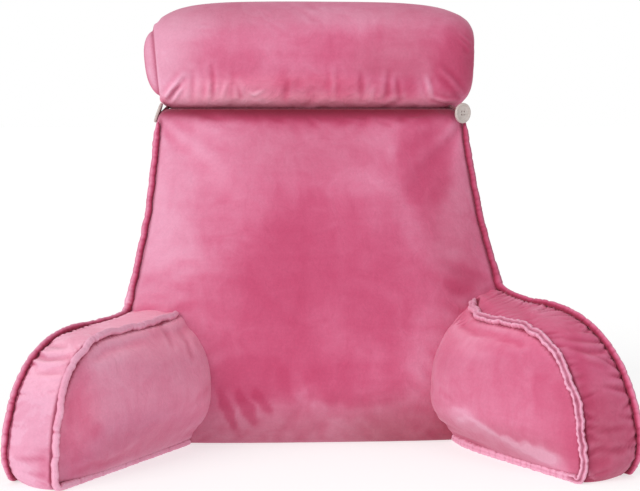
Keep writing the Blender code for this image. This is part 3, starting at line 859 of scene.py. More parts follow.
def makeArm(name, body):
    arm = arms[name]
    inner, outer = edgeOutline(arm["inner"]), edgeOutline(arm["outer"])
    count, steps = len(inner), armShape["bandSteps"]
    centre = np.array(armShape["innerMiddle"])
    points, faces = [], []
    for k in range(steps + 1):
        across = k / steps
        crown = armShape["bandCrown"] * 4 * across * (1 - across)
        line = inner + (outer - inner) * across
        share = 1 + crown / np.linalg.norm(line - centre, axis=1)
        line = centre + share[:, None] * (line - centre)
        line[:, 1] = np.maximum(line[:, 1], 0.0)
        points.extend(armPlaces(arm, line[:, 0], np.full(count, across), line[:, 1]))
        if k:
            faces.extend(ringFaces((k - 1) * count, k * count, count))
    for outline, ring, bulge, middle, across in (
        (inner, 0, arm["bulge"], armShape["innerMiddle"], 0),
        (outer, steps * count, armShape["outerBulge"], armShape["outerMiddle"], 1),
    ):
        placed = partial(panelPlaces, arm, outline, bulge, middle, across)
        fillPanel(points, faces, outline, ring, armShape["grid"], placed)
    points = np.array(points)
    # held along both edges of the band and where it rests on the floor
    held = points[:, 2] < armShape["onFloor"]
    held[:count] = True
    held[steps * count:(steps + 1) * count] = True
    piece = meshPiece("velvetArm" + name.capitalize(), points, faces)
    facesOut(piece)
    stuff(piece, held, armShape["stuffing"])
    subdivide(piece)
    tuckUnder(piece, body)
    creases = np.maximum(addFolds(piece, arm["folds"]), addGathers(piece, arm, (inner + outer) / 2))
    lines = [weltMiddle(*line) for line in weltLines(name)]
    beside = seamShade(piece, lines, armShape["seamShade"], radius=armShape["seamRadius"])
    creases = np.maximum(creases, beside)
    turned, facingUp = normalsOf(piece) @ armAxes(arm)[2], normalsOf(piece)[:, 2]
    onInner, onBand = ease(turned, *armShape["innerFaces"]), ease(np.abs(turned), *armShape["bandFaces"])
    nap = brushed(piece, arm["marks"]) + arm["innerNap"] * onInner + arm["bandNap"] * onBand
    # painted shade on the inner panel and band and in soft areas, painted light on the tops
    dim = arm["panelShade"][0] * onInner + arm["panelShade"][1] * ease(turned, *armShape["bandFaces"])
    dim += dimmed(piece, arm["shades"]) - armShape["topLight"] * ease(facingUp, *armShape["topFaces"])
    storeLook(piece, nap, creases, dim)
    return piece


# The neck roll, which rests on top of the backrest.

roll = {
    "rows": (
        # distance in from the end, share of the full section, drop of its middle
        (0.0108, 0.640, 0.003),
        (0.019, 0.76, 0.003),
        (0.034, 0.865, 0.003),
        (0.052, 0.935, 0.002),
        (0.078, 0.980, 0.001),
        (0.120, 1.000, 0.000),
        (0.228, 1.000, 0.000),
    ),
    "length": 0.455,
    "height": 0.154,
    "depth": 0.142,
    "power": 2.3,
    "y": 0.066,
    "sink": 0.007,
    "pressed": 0.0012,
    "seamIn": 0.0108,
    # how far the seam slants inwards at the foot of each end
    "seamTilt": {-1: 0.0100, 1: 0.0040},
    "tiltReach": 0.055,
    "endBulge": {-1: 0.0150, 1: 0.0035},
    "endCrown": (3, 0.85),
    # how much longer each end is, from where, and over what it grows
    "endReach": (0.0045, 0.13, 0.07),
    "seamShade": {-1: (0.0026, 0.55, 0.0010), 1: (0.0026, 0.15, 0.0)},
    # painted shade where it rests on the backrest: strength, reach
    "undersideShade": (1.0, 0.0026),
    "shades": (
        (0.235, 0.500, 0.050, 0.090, 0.12),
        (0.0, 0.444, 0.230, 0.016, -0.30),
        (-0.02, 0.463, 0.200, 0.022, -0.20),
        (-0.205, 0.515, 0.050, 0.060, 0.06),
        (-0.150, 0.567, 0.080, 0.030, 0.05),
        (0.0, 0.585, 0.300, 0.035, 0.08),
        (0.115, 0.500, 0.070, 0.045, 0.12),
        (0.145, 0.563, 0.080, 0.030, 0.05),
    ),
    # how much slimmer and lower the left end is, and how far in
    "slimmer": (0.080, 0.0035, 0.020),
    "marks": (
        (-0.208, 0.506, 0.036, 0.060, 0, 0.40, 0.35),
        (-0.020, 0.569, 0.220, 0.020, 0, 0.14, 0.30),
        (0.022, 0.520, 0.055, 0.020, 0, -0.10, 0.20),
        (0.090, 0.566, 0.110, 0.016, 0, 0.07, 0.30),
        (-0.122, 0.499, 0.035, 0.030, 0, -0.12, 0.25),
        (-0.040, 0.473, 0.010, 0.020, 5, -0.14, 0.25),
        (0.200, 0.495, 0.030, 0.048, 0, -0.36, 0.20),
        (0.129, 0.468, 0.018, 0.013, 0, -0.15, 0.25),
        # painted light along the underside of the roll, drawn in the nap
        (-0.006, 0.4470, 0.205, 0.013, 0, 0.20, 0.30),
        (-0.130, 0.462, 0.070, 0.020, 0, 0.22, 0.30),
        (-0.090, 0.500, 0.110, 0.050, 0, 0.10, 0.30),
        (-0.080, 0.461, 0.010, 0.006, 20, 0.20, 0.30),
        (0.159, 0.470, 0.009, 0.016, 10, 0.20, 0.30),
        (0.077, 0.464, 0.009, 0.009, 0, 0.14, 0.30),
        (0.040, 0.478, 0.120, 0.026, 0, -0.06, 0.30),
        (-0.170, 0.548, 0.040, 0.014, 12, 0.12, 0.30),
    ),
    "folds": (
        (((-0.204, 0.453), (-0.192, 0.468), (-0.177, 0.486)), 0.0036, -0.0024),
        (((-0.198, 0.450), (-0.191, 0.462), (-0.182, 0.471)), 0.0024, 0.0024),
        (((-0.191, 0.450), (-0.177, 0.473)), 0.0026, -0.0012),
        (((-0.166, 0.450), (-0.165, 0.490)), 0.0040, 0.0010),
        (((-0.146, 0.450), (-0.141, 0.478)), 0.0030, -0.0009),
        (((-0.137, 0.452), (-0.139, 0.496)), 0.0034, 0.0012),
        (((-0.126, 0.450), (-0.121, 0.474)), 0.0028, -0.0009),
        (((-0.113, 0.450), (-0.110, 0.486)), 0.0042, 0.0009),
        (((-0.100, 0.452), (-0.105, 0.472)), 0.0030, 0.0010),
        (((-0.040, 0.450), (-0.037, 0.476)), 0.0042, 0.0009),
        (((0.027, 0.452), (0.024, 0.498)), 0.0036, -0.0009),
        (((0.066, 0.450), (0.062, 0.488)), 0.0042, 0.0010),
        (((0.078, 0.450), (0.081, 0.470)), 0.0026, -0.0010),
        (((0.099, 0.450), (0.101, 0.490)), 0.0036, 0.0012),
        (((0.118, 0.450), (0.112, 0.480)), 0.0032, 0.0012),
        (((0.152, 0.482), (0.156, 0.470), (0.161, 0.456)), 0.0036, -0.0020),
        (((0.171, 0.491), (0.186, 0.478), (0.207, 0.455)), 0.0042, -0.0030),
        (((0.161, 0.455), (0.180, 0.449), (0.203, 0.450)), 0.0026, -0.0014),
        (((0.199, 0.542), (0.216, 0.527)), 0.0022, -0.0009),
        (((0.197, 0.536), (0.213, 0.521)), 0.0022, -0.0009),
        (((-0.090, 0.462), (-0.082, 0.457), (-0.068, 0.465)), 0.0022, -0.0009),
        (((-0.160, 0.549), (-0.139, 0.5485)), 0.0022, -0.0005),
    ),
    "around": 104,
    "along": 92,
    "grid": 0.0055,
    "stuffing": {"pressure": 3.0, "slack": 0.012, "frames": 20, "most": 0.008, "bending": 0.4},
}


def capPlaces(edge, side, grid):
    outline = edge[:, 1:]
    crown, steepness = roll["endCrown"]
    share = shareOut(grid, outline, outline.mean(axis=0))
    level = (grid[:, 1] - outline[:, 1].min()) / np.ptp(outline[:, 1])
    seamX = edge[:, 0].mean() + side * roll["seamTilt"][side] * (level - 0.5)
    rise = roll["endBulge"][side] * (1 - share**crown) ** steepness
    return np.column_stack([seamX + side * rise, grid])


def makeRoll():
    half = roll["length"] / 2
    floor = backrest["height"] - roll["pressed"]
    middle = floor + roll["height"] / 2 - roll["sink"]
    count, steps = roll["around"], roll["along"]
    points, faces = [], []
    span = roll["length"] - 2 * roll["seamIn"]
    for row in range(steps + 1):
        x = -half + roll["seamIn"] + span * (0.5 + 0.5 * spread(row / steps))
        distance = half - abs(x)
        share, drop = tableRow(roll["rows"], distance)
        if x < 0:
            slimmer, lower, reach = roll["slimmer"]
            fade = math.exp(-(distance - roll["seamIn"]) / reach)
            share *= 1 - slimmer * fade
            drop += lower * fade
        for k in range(count):
            angle = 2 * math.pi * (k + 0.5) / count
            c, w = math.cos(angle), math.sin(angle)
            y = roll["depth"] / 2 * share * math.copysign(abs(c) ** (2 / roll["power"]), c)
            z = roll["height"] / 2 * share * math.copysign(abs(w) ** (2 / roll["power"]), w)
            slant = roll["seamTilt"][-1 if x < 0 else 1] * 0.5 * (1 - w)
            tilt = slant * math.exp(-(distance - roll["seamIn"]) / roll["tiltReach"])
            points.append((x - math.copysign(tilt, x), roll["y"] + y, max(middle - drop + z, floor)))
        if row:
            faces.extend(ringFaces((row - 1) * count, row * count, count))
    ends = {-1: 0, 1: steps * count}
    for side, ring in ends.items():
        edge = np.array(points[ring:ring + count])
        fillPanel(points, faces, edge[:, 1:], ring, roll["grid"], partial(capPlaces, edge, side))
    points = np.array(points)
    longer, start, reach = roll["endReach"]
    for side in ends:
        points[:, 0] += side * longer * ease(side * points[:, 0], start, reach)
    # held along the seam at each end
    held = np.zeros(len(points), bool)
    for ring in ends.values():
        held[ring:ring + count] = True
    piece = meshPiece("velvetNeckRoll", points, faces)
    facesOut(piece)
    stuff(piece, held, roll["stuffing"])
    places = placesOf(piece)
    places[:, 2] = np.maximum(places[:, 2], floor)
    movePlaces(piece, places)
    subdivide(piece)
    creases = addFolds(piece, roll["folds"])
    for side, ring in ends.items():
        seam = points[ring:ring + count]
        creases = np.maximum(creases, seamShade(piece, [seam], roll["seamShade"][side], closed=True))
    strength, reach = roll["undersideShade"]
    above = placesOf(piece)[:, 2] - floor
    creases = np.maximum(creases, strength * np.exp(-((above / reach) ** 2)))
    storeLook(piece, brushed(piece, roll["marks"]), creases, dimmed(piece, roll["shades"]))
    return piece


# The welts: gathered tubes that stand out of the seams.

welts = {
    "reach": 0.0050,
    "halfWidth": 0.0046,
    "seat": 0.0017,
    "step": 0.0013,
    "sides": 24,
    "top": 0.421,
    "turn": 0.005,
    "topTaper": 0.020,
    "endRound": 0.004,
    "squareness": 0.85,
    # how far a welt is pushed out at the floor, and up to where
    "bottomOut": (0.004, 0.010),
    # the pile lies darker up the sides of the backrest, from this height, over this reach
    "sideFrom": (0.19, 0.03),
    "sidePile": -0.21,
    # painted shade up the sides of the backrest, more on the right
    "sideShade": {"left": 0.02, "right": 0.18},
    # a little thicker where an outer welt turns onto the arm: how much, where, reach
    "swell": (0.35, 1.03, 0.016),
    "sideCalm": 0.45,
    # how much brighter all the welts are, and how far round from the seam the painted highlight on the rim
    # begins
    "lift": 0.07,
    "rimLightFrom": 0.45,
    # how a welt leans out of its seam: against the bend of the edge, and away from the panel
    "edgeStand": (0.75, 0.65),
    "seamStand": (0.85, -0.53),
    # where the right inner welt is grooved along its length, and how much shallower it is elsewhere
    "grooved": (0.085, 0.430, 0.25),
    "rootInside": {"left": -0.004, "right": 0.000},
    # an inner welt's slimmer tip: length, share of the full size
    "tip": {"left": (0.0, 1.0), "right": (0.016, 0.55)},
    # the lengths over which the lips, the height, the groove and the line of a welt vary
    "lipLength": 0.0045,
    "heightLength": 0.006,
    "grooveLength": 0.018,
    "wanderLengths": (0.022, 0.008),
    "tuckWidth": (0.0009, 0.0020),
    "grooveWidth": 0.34,
    "grooveFade": 0.012,
    "seamStep": 0.011,
    "middleStep": 0.004,
    "looks": {
        # size, groove depth, tuck spacing, tuck depth, sideways wander, scallop, pile, painted rim highlight,
        # seed
        "innerLeft": (0.92, 0.0003, 0.055, 0.36, 0.0014, 0.12, 0.37, 0.22, 3),
        "innerRight": (1.12, 0.0052, 0.014, 0.22, 0.0014, 0.20, 0.38, 0.22, 5),
        "outerLeft": (0.88, 0.0014, 0.010, 0.40, 0.0012, 0.16, 0.17, 0.55, 8),
        "outerRight": (0.88, 0.0016, 0.012, 0.34, 0.0012, 0.14, 0.00, 0.45, 11),
    },
}


def evenPath(points, outs, step):
    rows, travelled = [], 0.0
    for k, (point, out) in enumerate(zip(points, outs)):
        if k:
            travelled += float(np.linalg.norm(point - points[k - 1]))
        rows.append((travelled, *point, *out))
    count = round(travelled / step)
    values = np.array([tableRow(rows, travelled * k / count) for k in range(count + 1)])
    return values[:, :3], values[:, 3:]


def edgePath(arm, outline, across):
    path = outline[:sum(armShape["steps"][:4]) + 1]
    _, forward, inward = armAxes(arm)
    away = inward if across == 0 else -inward
    lean, turnOut = welts["edgeStand"]
    moved, reach = welts["bottomOut"]
    tangent = unit(np.gradient(path, axis=0))
    upright = tangent[:, 1:2] * forward + np.maximum(-tangent[:, 0:1], 0.0) * up
    places = armPlaces(arm, path[:, 0], np.full(len(path), float(across)), path[:, 1])
    places = places + moved * np.exp(-((path[:, 1:2] / reach) ** 2)) * away
    return places[::-1], (lean * upright + turnOut * away)[::-1]


def frontY(point):
    # How far forward the backrest's front panel comes at this place.
    halfWidth, seamY, crown, _, _ = backrestSection(min(max(point[2], 0.0), backrest["height"]))
    across = (point[0] - backrestMiddle(point[2])) / halfWidth
    return seamY - crown * panelRise(across) if abs(across) < 1 else 1.0


def smoothNoise(distance, length, seed):
    return noise.noise(Vector((distance / length, seed * 7.31, 0.37)))


def makeWelt(name, path, outs, look, tip=0.0, tipSize=1.0, taper=0.0, swell=None, sideShade=0.0):
    girth, groove, spacing, tuck, wander, scallop, pile, rim, seed = look
    path, outs = evenPath(path, outs, welts["step"])
    count, sides = len(path), welts["sides"]
    along = unit(np.gradient(path, axis=0))
    outs = unit(outs - (outs * along).sum(axis=1, keepdims=True) * along)
    asides = np.cross(along, outs)
    draw = random.Random(seed)
    tucks, place = [], spacing * 0.4
    while place < count * welts["step"]:
        tucks.append((place, draw.choice((-1, 1)), draw.uniform(0.5, 1.0), draw.uniform(*welts["tuckWidth"])))
        place += spacing * draw.uniform(0.45, 1.6)
    angles = 2 * math.pi * np.arange(sides) / sides
    a0, h0 = (np.sign(way) * np.abs(way) ** welts["squareness"] for way in (np.sin(angles), np.cos(angles)))
    points, faces, depths = [], [], []
    total = (count - 1) * welts["step"]
    for k in range(count):
        distance = k * welts["step"]
        side = [1.0 + scallop * 1.6 * smoothNoise(distance, welts["lipLength"], seed + lip) for lip in (1, 2)]
        height = 1.0 + scallop * smoothNoise(distance, welts["heightLength"], seed + 3)
        calm = 1 - welts["sideCalm"] * ease(path[k][2], *welts["sideFrom"])
        pinch = 0.0
        for place, lip, strength, width in tucks:
            near = math.exp(-(((distance - place) / width) ** 2))
            pinch = max(pinch, near * strength)
            side[0 if lip < 0 else 1] *= 1 - calm * tuck * strength * near
            side[1 if lip < 0 else 0] *= 1 - 0.45 * calm * tuck * strength * near
            height *= 1 - 0.5 * calm * tuck * strength * near
        size = girth
        if tip and distance < tip:
            size *= tipSize
        if taper:
            size *= min(1.0, 0.45 + 0.55 * distance / taper)
        if swell:
            more, _, reach = welts["swell"]
            size *= 1 + more * math.exp(-(((distance - swell) / reach) ** 2))
        for end in (distance, total - distance):
            if end < welts["endRound"]:
                size *= math.sqrt(max(1 - (1 - end / welts["endRound"]) ** 2, 0.02))
        lips = np.where(a0 < 0, side[0], side[1])
        aside = a0 * (1 + (lips - 1) * ease(h0, -0.7, 0.8)) * welts["halfWidth"] * size
        dip = groove * (0.6 + 0.8 * abs(smoothNoise(distance, welts["grooveLength"], seed + 4)))
        start, end, least = welts["grooved"]
        if tip and not start < distance < end:
            dip *= max(least, 1 - min(abs(distance - start), abs(distance - end)) / welts["grooveFade"])
        cleft = np.where(h0 > 0, dip * np.exp(-((a0 / welts["grooveWidth"]) ** 2)), 0.0)
        rise = h0 * welts["reach"] * height * size - cleft * size
        slow, quick = (smoothNoise(distance, welts["wanderLengths"][k], seed + 5 + k) for k in (0, 1))
        drift = wander * (2 * slow + 0.9 * quick)
        middle = path[k] + welts["seat"] * outs[k] + drift * asides[k]
        middle[2] = max(middle[2], welts["halfWidth"] * size)
        ring = middle + rise[:, None] * outs[k] + aside[:, None] * asides[k]
        ring[:, 2] = np.maximum(ring[:, 2], 0.0)
        points.extend(ring)
        # painted shade in the tucks, in the groove and down in the seam
        depths.extend(np.clip(pinch * 0.35 + cleft / 0.0025 * 0.6 + 0.9 * ease(h0, 0.05, -0.45), 0, 1))
        if k:
            faces.extend(ringFaces((k - 1) * sides, k * sides, sides))
    for ring in (0, (count - 1) * sides):
        points.append(np.mean(points[ring:ring + sides], axis=0))
        hub = len(points) - 1
        faces.extend((ring + j, ring + (j + 1) % sides, hub) for j in range(sides))
    piece = meshPiece(name, points, faces)
    facesOut(piece)
    beside = ease(np.array(points)[:, 2], *welts["sideFrom"])
    # painted highlight over the top of each welt, deeper below it
    rimHighlight = np.append(np.tile(rim * (h0 - welts["rimLightFrom"]), count), (0.0, 0.0))
    creases = np.append(depths, (0.0, 0.0))
    storeLook(piece, pile + rimHighlight + welts["sidePile"] * beside, creases, sideShade * beside - welts["lift"])
    return piece


def weltLines(name):
    # The outer welt's and the inner welt's line of places, each with the way it stands out.
    arm = arms[name]
    side = arm["side"]
    across, forth = welts["seamStand"]
    join = arm["outer"][1] + arm["outer"][5]

    def seamPoint(height):
        halfWidth, seamY, _, _, _ = backrestSection(height)
        return np.array((side * halfWidth + backrestMiddle(height), seamY, height))

    turnY = seamPoint(join)[1] - welts["turn"]
    heights = np.arange(welts["top"], join, -welts["seamStep"])
    places, outs = edgePath(arm, edgeOutline(arm["outer"]), 1)
    kept = places[:, 1] < turnY
    path = np.concatenate([[seamPoint(z) for z in heights], places[kept][::3]])
    stand = np.concatenate([np.tile((across * side, forth, 0.0), (len(heights), 1)), outs[kept][::3]])
    places, outs = edgePath(arm, edgeOutline(arm["inner"]), 0)
    kept = np.array([place[1] < frontY(place) + welts["rootInside"][name] for place in places])
    return (path, stand), (places[kept], outs[kept])


def weltMiddle(path, outs):
    path, outs = evenPath(path, outs, welts["middleStep"])
    return path + welts["seat"] * outs


def makeWelts(name):
    outerLine, innerLine = weltLines(name)
    label = name.capitalize()
    look, taper = welts["looks"]["outer" + label], welts["topTaper"]
    join = arms[name]["outer"][1] + arms[name]["outer"][5]
    corner, dim = welts["swell"][1] * (welts["top"] - join), welts["sideShade"][name]
    outer = makeWelt("weltOuter" + label, *outerLine, look, taper=taper, swell=corner, sideShade=dim)
    look, (tip, tipSize) = welts["looks"]["inner" + label], welts["tip"][name]
    inner = makeWelt("weltInner" + label, *innerLine, look, tip=tip, tipSize=tipSize)
    return outer, inner


button = {
    "radius": 0.014,
    "thickness": 0.0038,
    "dish": 0.0010,
    "rim": 0.0030,
    "hole": 0.0022,
    "spacing": 0.0044,
    "segments": 72,
    "facing": {"left": (-0.935, 0.050, 0.342), "right": (0.577, -0.814, -0.060)},
}

fastening = {
    "threadRadius": 0.00042,
    "shankRadius": 0.0015,
    "shankTurns": 6,
    "shankSteps": 14,
    "shankWaist": 0.18,
    "loopRadius": 0.0018,
    "loopBend": 0.0034,
    "loopBehind": 0.0023,
    "roots": {"left": (-0.1922, 0.056, 0.4487), "right": (0.1860, 0.045, 0.4440)},
    "reach": {"left": 0.0052, "right": 0.0105},
}


def lathe(name, profile, segments):
    mesh = bmesh.new()
    rings = []
    turn = [2 * math.pi * k / segments for k in range(segments)]
    for radius, z in profile:
        if radius < 1e-6:
            rings.append([mesh.verts.new((0, 0, z))])
        else:
            rings.append([mesh.verts.new((radius * math.cos(t), radius * math.sin(t), z)) for t in turn])
    for first, second in zip(rings, rings[1:]):
        for k in range(segments):
            j = (k + 1) % segments
            corners = [ring[i % len(ring)] for ring, i in ((first, k), (first, j), (second, j), (second, k))]
            mesh.faces.new(list(dict.fromkeys(corners)))
    bmesh.ops.recalc_face_normals(mesh, faces=mesh.faces)
    data = bpy.data.meshes.new(name)
    mesh.to_mesh(data)
    mesh.free()
    return linked(name, data)


def buttonPlace(name):
    low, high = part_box("button_" + name)
    facing = Vector(button["facing"][name]).normalized()
    return (low + high) / 2 - facing * button["thickness"] / 2, facing


def makeButton(name):
    back, facing = buttonPlace(name)
    radius, thick, dish, rim = button["radius"], button["thickness"], button["dish"], button["rim"]
    floor, inner = thick - dish, radius - rim
    profile = [(0.0, floor - 0.0001), (inner * 0.55, floor - 0.00005), (inner - 0.0008, floor)]
    # the raised rim, then the rounded outer edge
    for k in range(1, 6):
        t = math.pi * k / 10
        profile.append((inner + 0.0011 * (1 - math.cos(t)) - 0.0004, floor + dish * math.sin(t)))
    for k in range(9):
        t = math.pi * (0.5 - k / 8)
        profile.append((radius - thick / 2 * 0.55 * (1 - math.cos(t)), thick / 2 + thick / 2 * math.sin(t)))
    profile.append((0.0, 0.0))
    piece = lathe("button" + name.capitalize(), profile, button["segments"])
    # four thread holes, each a little wider at its mouth
    hole, reach, cutters = button["hole"] / 2, button["spacing"] / math.sqrt(2), []
    mouth = hole * 1.35
    shape = [(0.0, -0.001), (hole, -0.001), (hole, floor - 0.0005), (mouth, floor + 0.00005)]
    shape += [(mouth, thick + 0.001), (0.0, thick + 0.001)]
    for k in range(4):
        angle = math.pi * (0.25 + 0.5 * k)
        cutter = lathe("hole", shape, 28)
        cutter.location = (reach * math.cos(angle), reach * math.sin(angle), 0)
        cutters.append(cutter)
        addModifier(piece, "BOOLEAN", operation="DIFFERENCE", object=cutter)
    addModifier(piece, "BEVEL", width=0.00015, segments=2, limit_method="ANGLE", angle_limit=math.radians(40))
    bpy.context.view_layer.update()
    applyModifiers(piece)
    for cutter in cutters:
        bpy.data.objects.remove(cutter)
    piece.data.shade_smooth()
    piece.data.set_sharp_from_angle(angle=math.radians(50))
    piece.data.transform(Matrix.Translation(back) @ facing.to_track_quat("Z", "Y").to_matrix().to_4x4())
    return piece


def makeTube(name, path, radius):
    curve = bpy.data.curves.new(name, "CURVE")
    curve.dimensions = "3D"
    curve.bevel_depth = radius
    curve.bevel_resolution = 3
    curve.use_fill_caps = True
    spline = curve.splines.new("POLY")
    spline.points.add(len(path) - 1)
    for point, place in zip(spline.points, path):
        point.co = (*place, 1.0)
    guide = linked(name, curve)
    graph = bpy.context.evaluated_depsgraph_get()
    data = bpy.data.meshes.new_from_object(guide.evaluated_get(graph))
    bpy.data.objects.remove(guide)
    mesh = bmesh.new()
    mesh.from_mesh(data)
    bmesh.ops.remove_doubles(mesh, verts=mesh.verts, dist=1e-6)
    mesh.to_mesh(data)
    mesh.free()
    data.shade_smooth()
    return linked(name, data)


def makeShank(name):
    back, facing = buttonPlace(name)
    turn = facing.to_track_quat("Z", "Y")
    path = []
    turns, reach = fastening["shankTurns"], fastening["reach"][name]
    steps = turns * fastening["shankSteps"]
    for k in range(steps + 1):
        t = k / steps
        angle = 2 * math.pi * turns * t
        waist = fastening["shankRadius"] * (1 - fastening["shankWaist"] * math.sin(math.pi * t))
        spot = Vector((waist * math.cos(angle), waist * math.sin(angle), -0.0005 - (reach - 0.0006) * t))
        path.append(back + turn @ spot)
    return makeTube("thread" + name.capitalize(), path, fastening["threadRadius"])


def makeLoop(name):
    back, facing = buttonPlace(name)
    root = Vector(fastening["roots"][name])
    bend = back - fastening["loopBehind"] * facing
    leg = root - bend
    lift = (leg - leg.dot(facing) * facing).normalized()
    aside = facing.cross(lift)
    half, steps = fastening["loopBend"], 16
    # up one leg from the roll, round the shank, and back, the legs a little closer at the roll
    path = []
    for k in range(steps):
        t = k / steps
        path.append(root.lerp(bend, t) + half * (0.75 + 0.25 * t) * aside)
    for k in range(21):
        angle = math.pi * k / 20
        path.append(bend + half * (math.cos(angle) * aside - math.sin(angle) * lift))
    for k in range(steps):
        t = (k + 1) / steps
        path.append(bend.lerp(root, t) - half * (1 - 0.25 * t) * aside)
    return makeTube("elasticLoop" + name.capitalize(), path, fastening["loopRadius"])


velvetLook = {
    # where the pile lies away from the eye, stands, and lies towards it
    "pile": ((0.15, (0.49, 0.056, 0.140)), (0.52, (0.615, 0.122, 0.240)), (0.95, (0.755, 0.370, 0.515))),
    "sheen": 0.28,
    "sheenTint": (1.0, 0.64, 0.75),
    "sheenRoughness": 0.38,
    "roughness": 0.82,
    "specular": 0.25,
    # what painted shade takes off each colour, and what it takes off more where the painted shade is darker
    "dimming": (-1.0, -1.0, -0.75),
    "dimTint": (0.0, -0.14, -0.55),
    # the colour of the painted shade in folds and along seams
    "foldTint": (0.36, 0.08, 0.155),
    # strokes drawn out along the pillow, then up it: stretch and strength
    "strokes": (((1, 1, 0.22), 0.16), ((0.16, 0.16, 1), 0.14)),
    # how many to a metre, and how strongly each tells
    "cloud": (6.0, 0.34),
    "patch": (22.0, 0.30),
    "fibre": (1500.0, 0.24),
    "tuft": (330.0, 0.20),
    "stroke": 60.0,
    "lump": 45.0,
    # where the turn of the pile and the speckle start
    "napBase": 0.15,
    "speckleBase": 0.78,
    # strength and height of the relief
    "lumpRelief": (0.5, 0.0035),
    "pileRelief": (0.35, 0.0004),
}


def setInputs(node, inputs):
    # Each input gets a value of its own, or a link from another node's output.
    for name, value in dict(inputs).items():
        if isinstance(value, bpy.types.NodeSocket):
            node.id_data.links.new(value, node.inputs[name])
        else:
            node.inputs[name].default_value = value
    return node


def nodeMaker(tree):
    def add(kind, inputs=(), **settings):
        node = tree.nodes.new("ShaderNode" + kind)
        for name, value in settings.items():
            setattr(node, name, value)
        return setInputs(node, inputs)

    return add


def newMaterial(name):
    material = bpy.data.materials.new(name)
    material.use_nodes = True
    tree = material.node_tree
    return material, tree.nodes["Principled BSDF"], nodeMaker(tree)


def noiseOf(add, place, scale, detail, roughness=0.5, distortion=0.0):
    amounts = {"Scale": scale, "Detail": detail, "Roughness": roughness, "Distortion": distortion}
    return add("TexNoise", {"Vector": place} | amounts).outputs["Fac"]


def maths(add, operation, *values, clamp=False):
    return add("Math", enumerate(values), operation=operation, use_clamp=clamp).outputs[0]


def vectorMaths(add, operation, *values):
    return add("VectorMath", enumerate(values), operation=operation).outputs[0]


def stored(add, name):
    return add("Attribute", attribute_name=name).outputs["Fac"]


def rampOf(add, amount, stops, smoothing="LINEAR"):
    node = add("ValToRGB", {"Fac": amount})
    ramp = node.color_ramp
    ramp.interpolation = smoothing
    for element, (position, colour) in zip(list(ramp.elements), (stops[0], stops[-1])):
        element.position = position
        element.color = (*colour, 1)
    for position, colour in stops[1:-1]:
        ramp.elements.new(position).color = (*colour, 1)
    return node.outputs["Color"]


def bumpOf(add, height, strength, distance, **under):
    inputs = {"Height": height, "Strength": strength, "Distance": distance}
    return add("Bump", inputs | under).outputs["Normal"]


def makeVelvet(name, look, shift=0.0, foldDark=0.88):
    material, shader, add = newMaterial(name)
    place = add("TexCoord").outputs["Object"]
    # the pile lies one way or the other in soft clouds, hand-sized patches and strokes
    cloud = noiseOf(add, place, look["cloud"][0], 3.0, 0.55, 0.6)
    patch = noiseOf(add, place, look["patch"][0], 4.0, 0.6, 1.2)
    nap = maths(add, "MULTIPLY_ADD", cloud, look["cloud"][1], look["napBase"] + shift)
    nap = maths(add, "ADD", nap, maths(add, "MULTIPLY", patch, look["patch"][1]))
    for stretch, amount in look["strokes"]:
        along = vectorMaths(add, "MULTIPLY", place, stretch)
        stroke = maths(add, "SUBTRACT", noiseOf(add, along, look["stroke"], 4.0, 0.62, 0.4), 0.5)
        nap = maths(add, "ADD", nap, maths(add, "MULTIPLY", stroke, amount))
    nap = maths(add, "ADD", nap, stored(add, "nap"), clamp=True)
    colour = rampOf(add, nap, look["pile"], "B_SPLINE")
    # single fibres and small tufts, a little lighter and darker
    fibre = noiseOf(add, place, look["fibre"][0], 2.0, 0.7)
    tuft = noiseOf(add, place, look["tuft"][0], 3.0, 0.65)
    speckle = maths(add, "MULTIPLY_ADD", fibre, look["fibre"][1], look["speckleBase"])
    speckle = maths(add, "ADD", speckle, maths(add, "MULTIPLY", tuft, look["tuft"][1]))
    fleck = add("HueSaturation", {"Value": speckle, "Color": colour}).outputs["Color"]
    # painted shade and painted light, the painted shade warmer
    dim = stored(add, "dim")
    lit = vectorMaths(add, "MULTIPLY_ADD", dim, look["dimming"], (1, 1, 1))
    lit = vectorMaths(add, "MULTIPLY_ADD", maths(add, "MAXIMUM", dim, 0.0), look["dimTint"], lit)
    # painted shade in the folds and where two panels meet
    fold = maths(add, "MULTIPLY", stored(add, "fold"), foldDark, clamp=True)
    shade = add("Mix", data_type="RGBA", blend_type="MULTIPLY")
    fleck = vectorMaths(add, "MULTIPLY", fleck, lit)
    setInputs(shade, {"Factor": fold, "A": fleck, "B": (*look["foldTint"], 1)})
    # short pile in fine relief over a slightly uneven filling
    lumps = bumpOf(add, noiseOf(add, place, look["lump"], 3.0, 0.55, 0.8), *look["lumpRelief"])
    setInputs(shader, {
        "Base Color": shade.outputs["Result"],
        "Roughness": look["roughness"],
        "Specular IOR Level": look["specular"],
        "Sheen Weight": look["sheen"],
        "Sheen Roughness": look["sheenRoughness"],
        "Sheen Tint": (*look["sheenTint"], 1),
        "Normal": bumpOf(add, fibre, *look["pileRelief"], Normal=lumps),
    })
    return material


buttonLook = {
    "clouds": ((0.3, (0.47, 0.40, 0.37)), (0.7, (0.62, 0.56, 0.53))),
    "cloud": 160.0,
    "roughness": (0.2, 0.28),
    "scratch": 1400.0,
    "scratchRelief": (0.12, 0.0002),
}


def makeButtonFinish():
    material, shader, add = newMaterial("moulded button")
    place = add("TexCoord").outputs["Object"]
    cloud = noiseOf(add, place, buttonLook["cloud"], 4.0, 0.6, 1.5)
    scratch = noiseOf(add, place, buttonLook["scratch"], 2.0)
    setInputs(shader, {
        "Base Color": rampOf(add, cloud, buttonLook["clouds"]),
        "Roughness": maths(add, "MULTIPLY_ADD", cloud, *buttonLook["roughness"]),
        "Normal": bumpOf(add, scratch, *buttonLook["scratchRelief"]),
    })
    return material


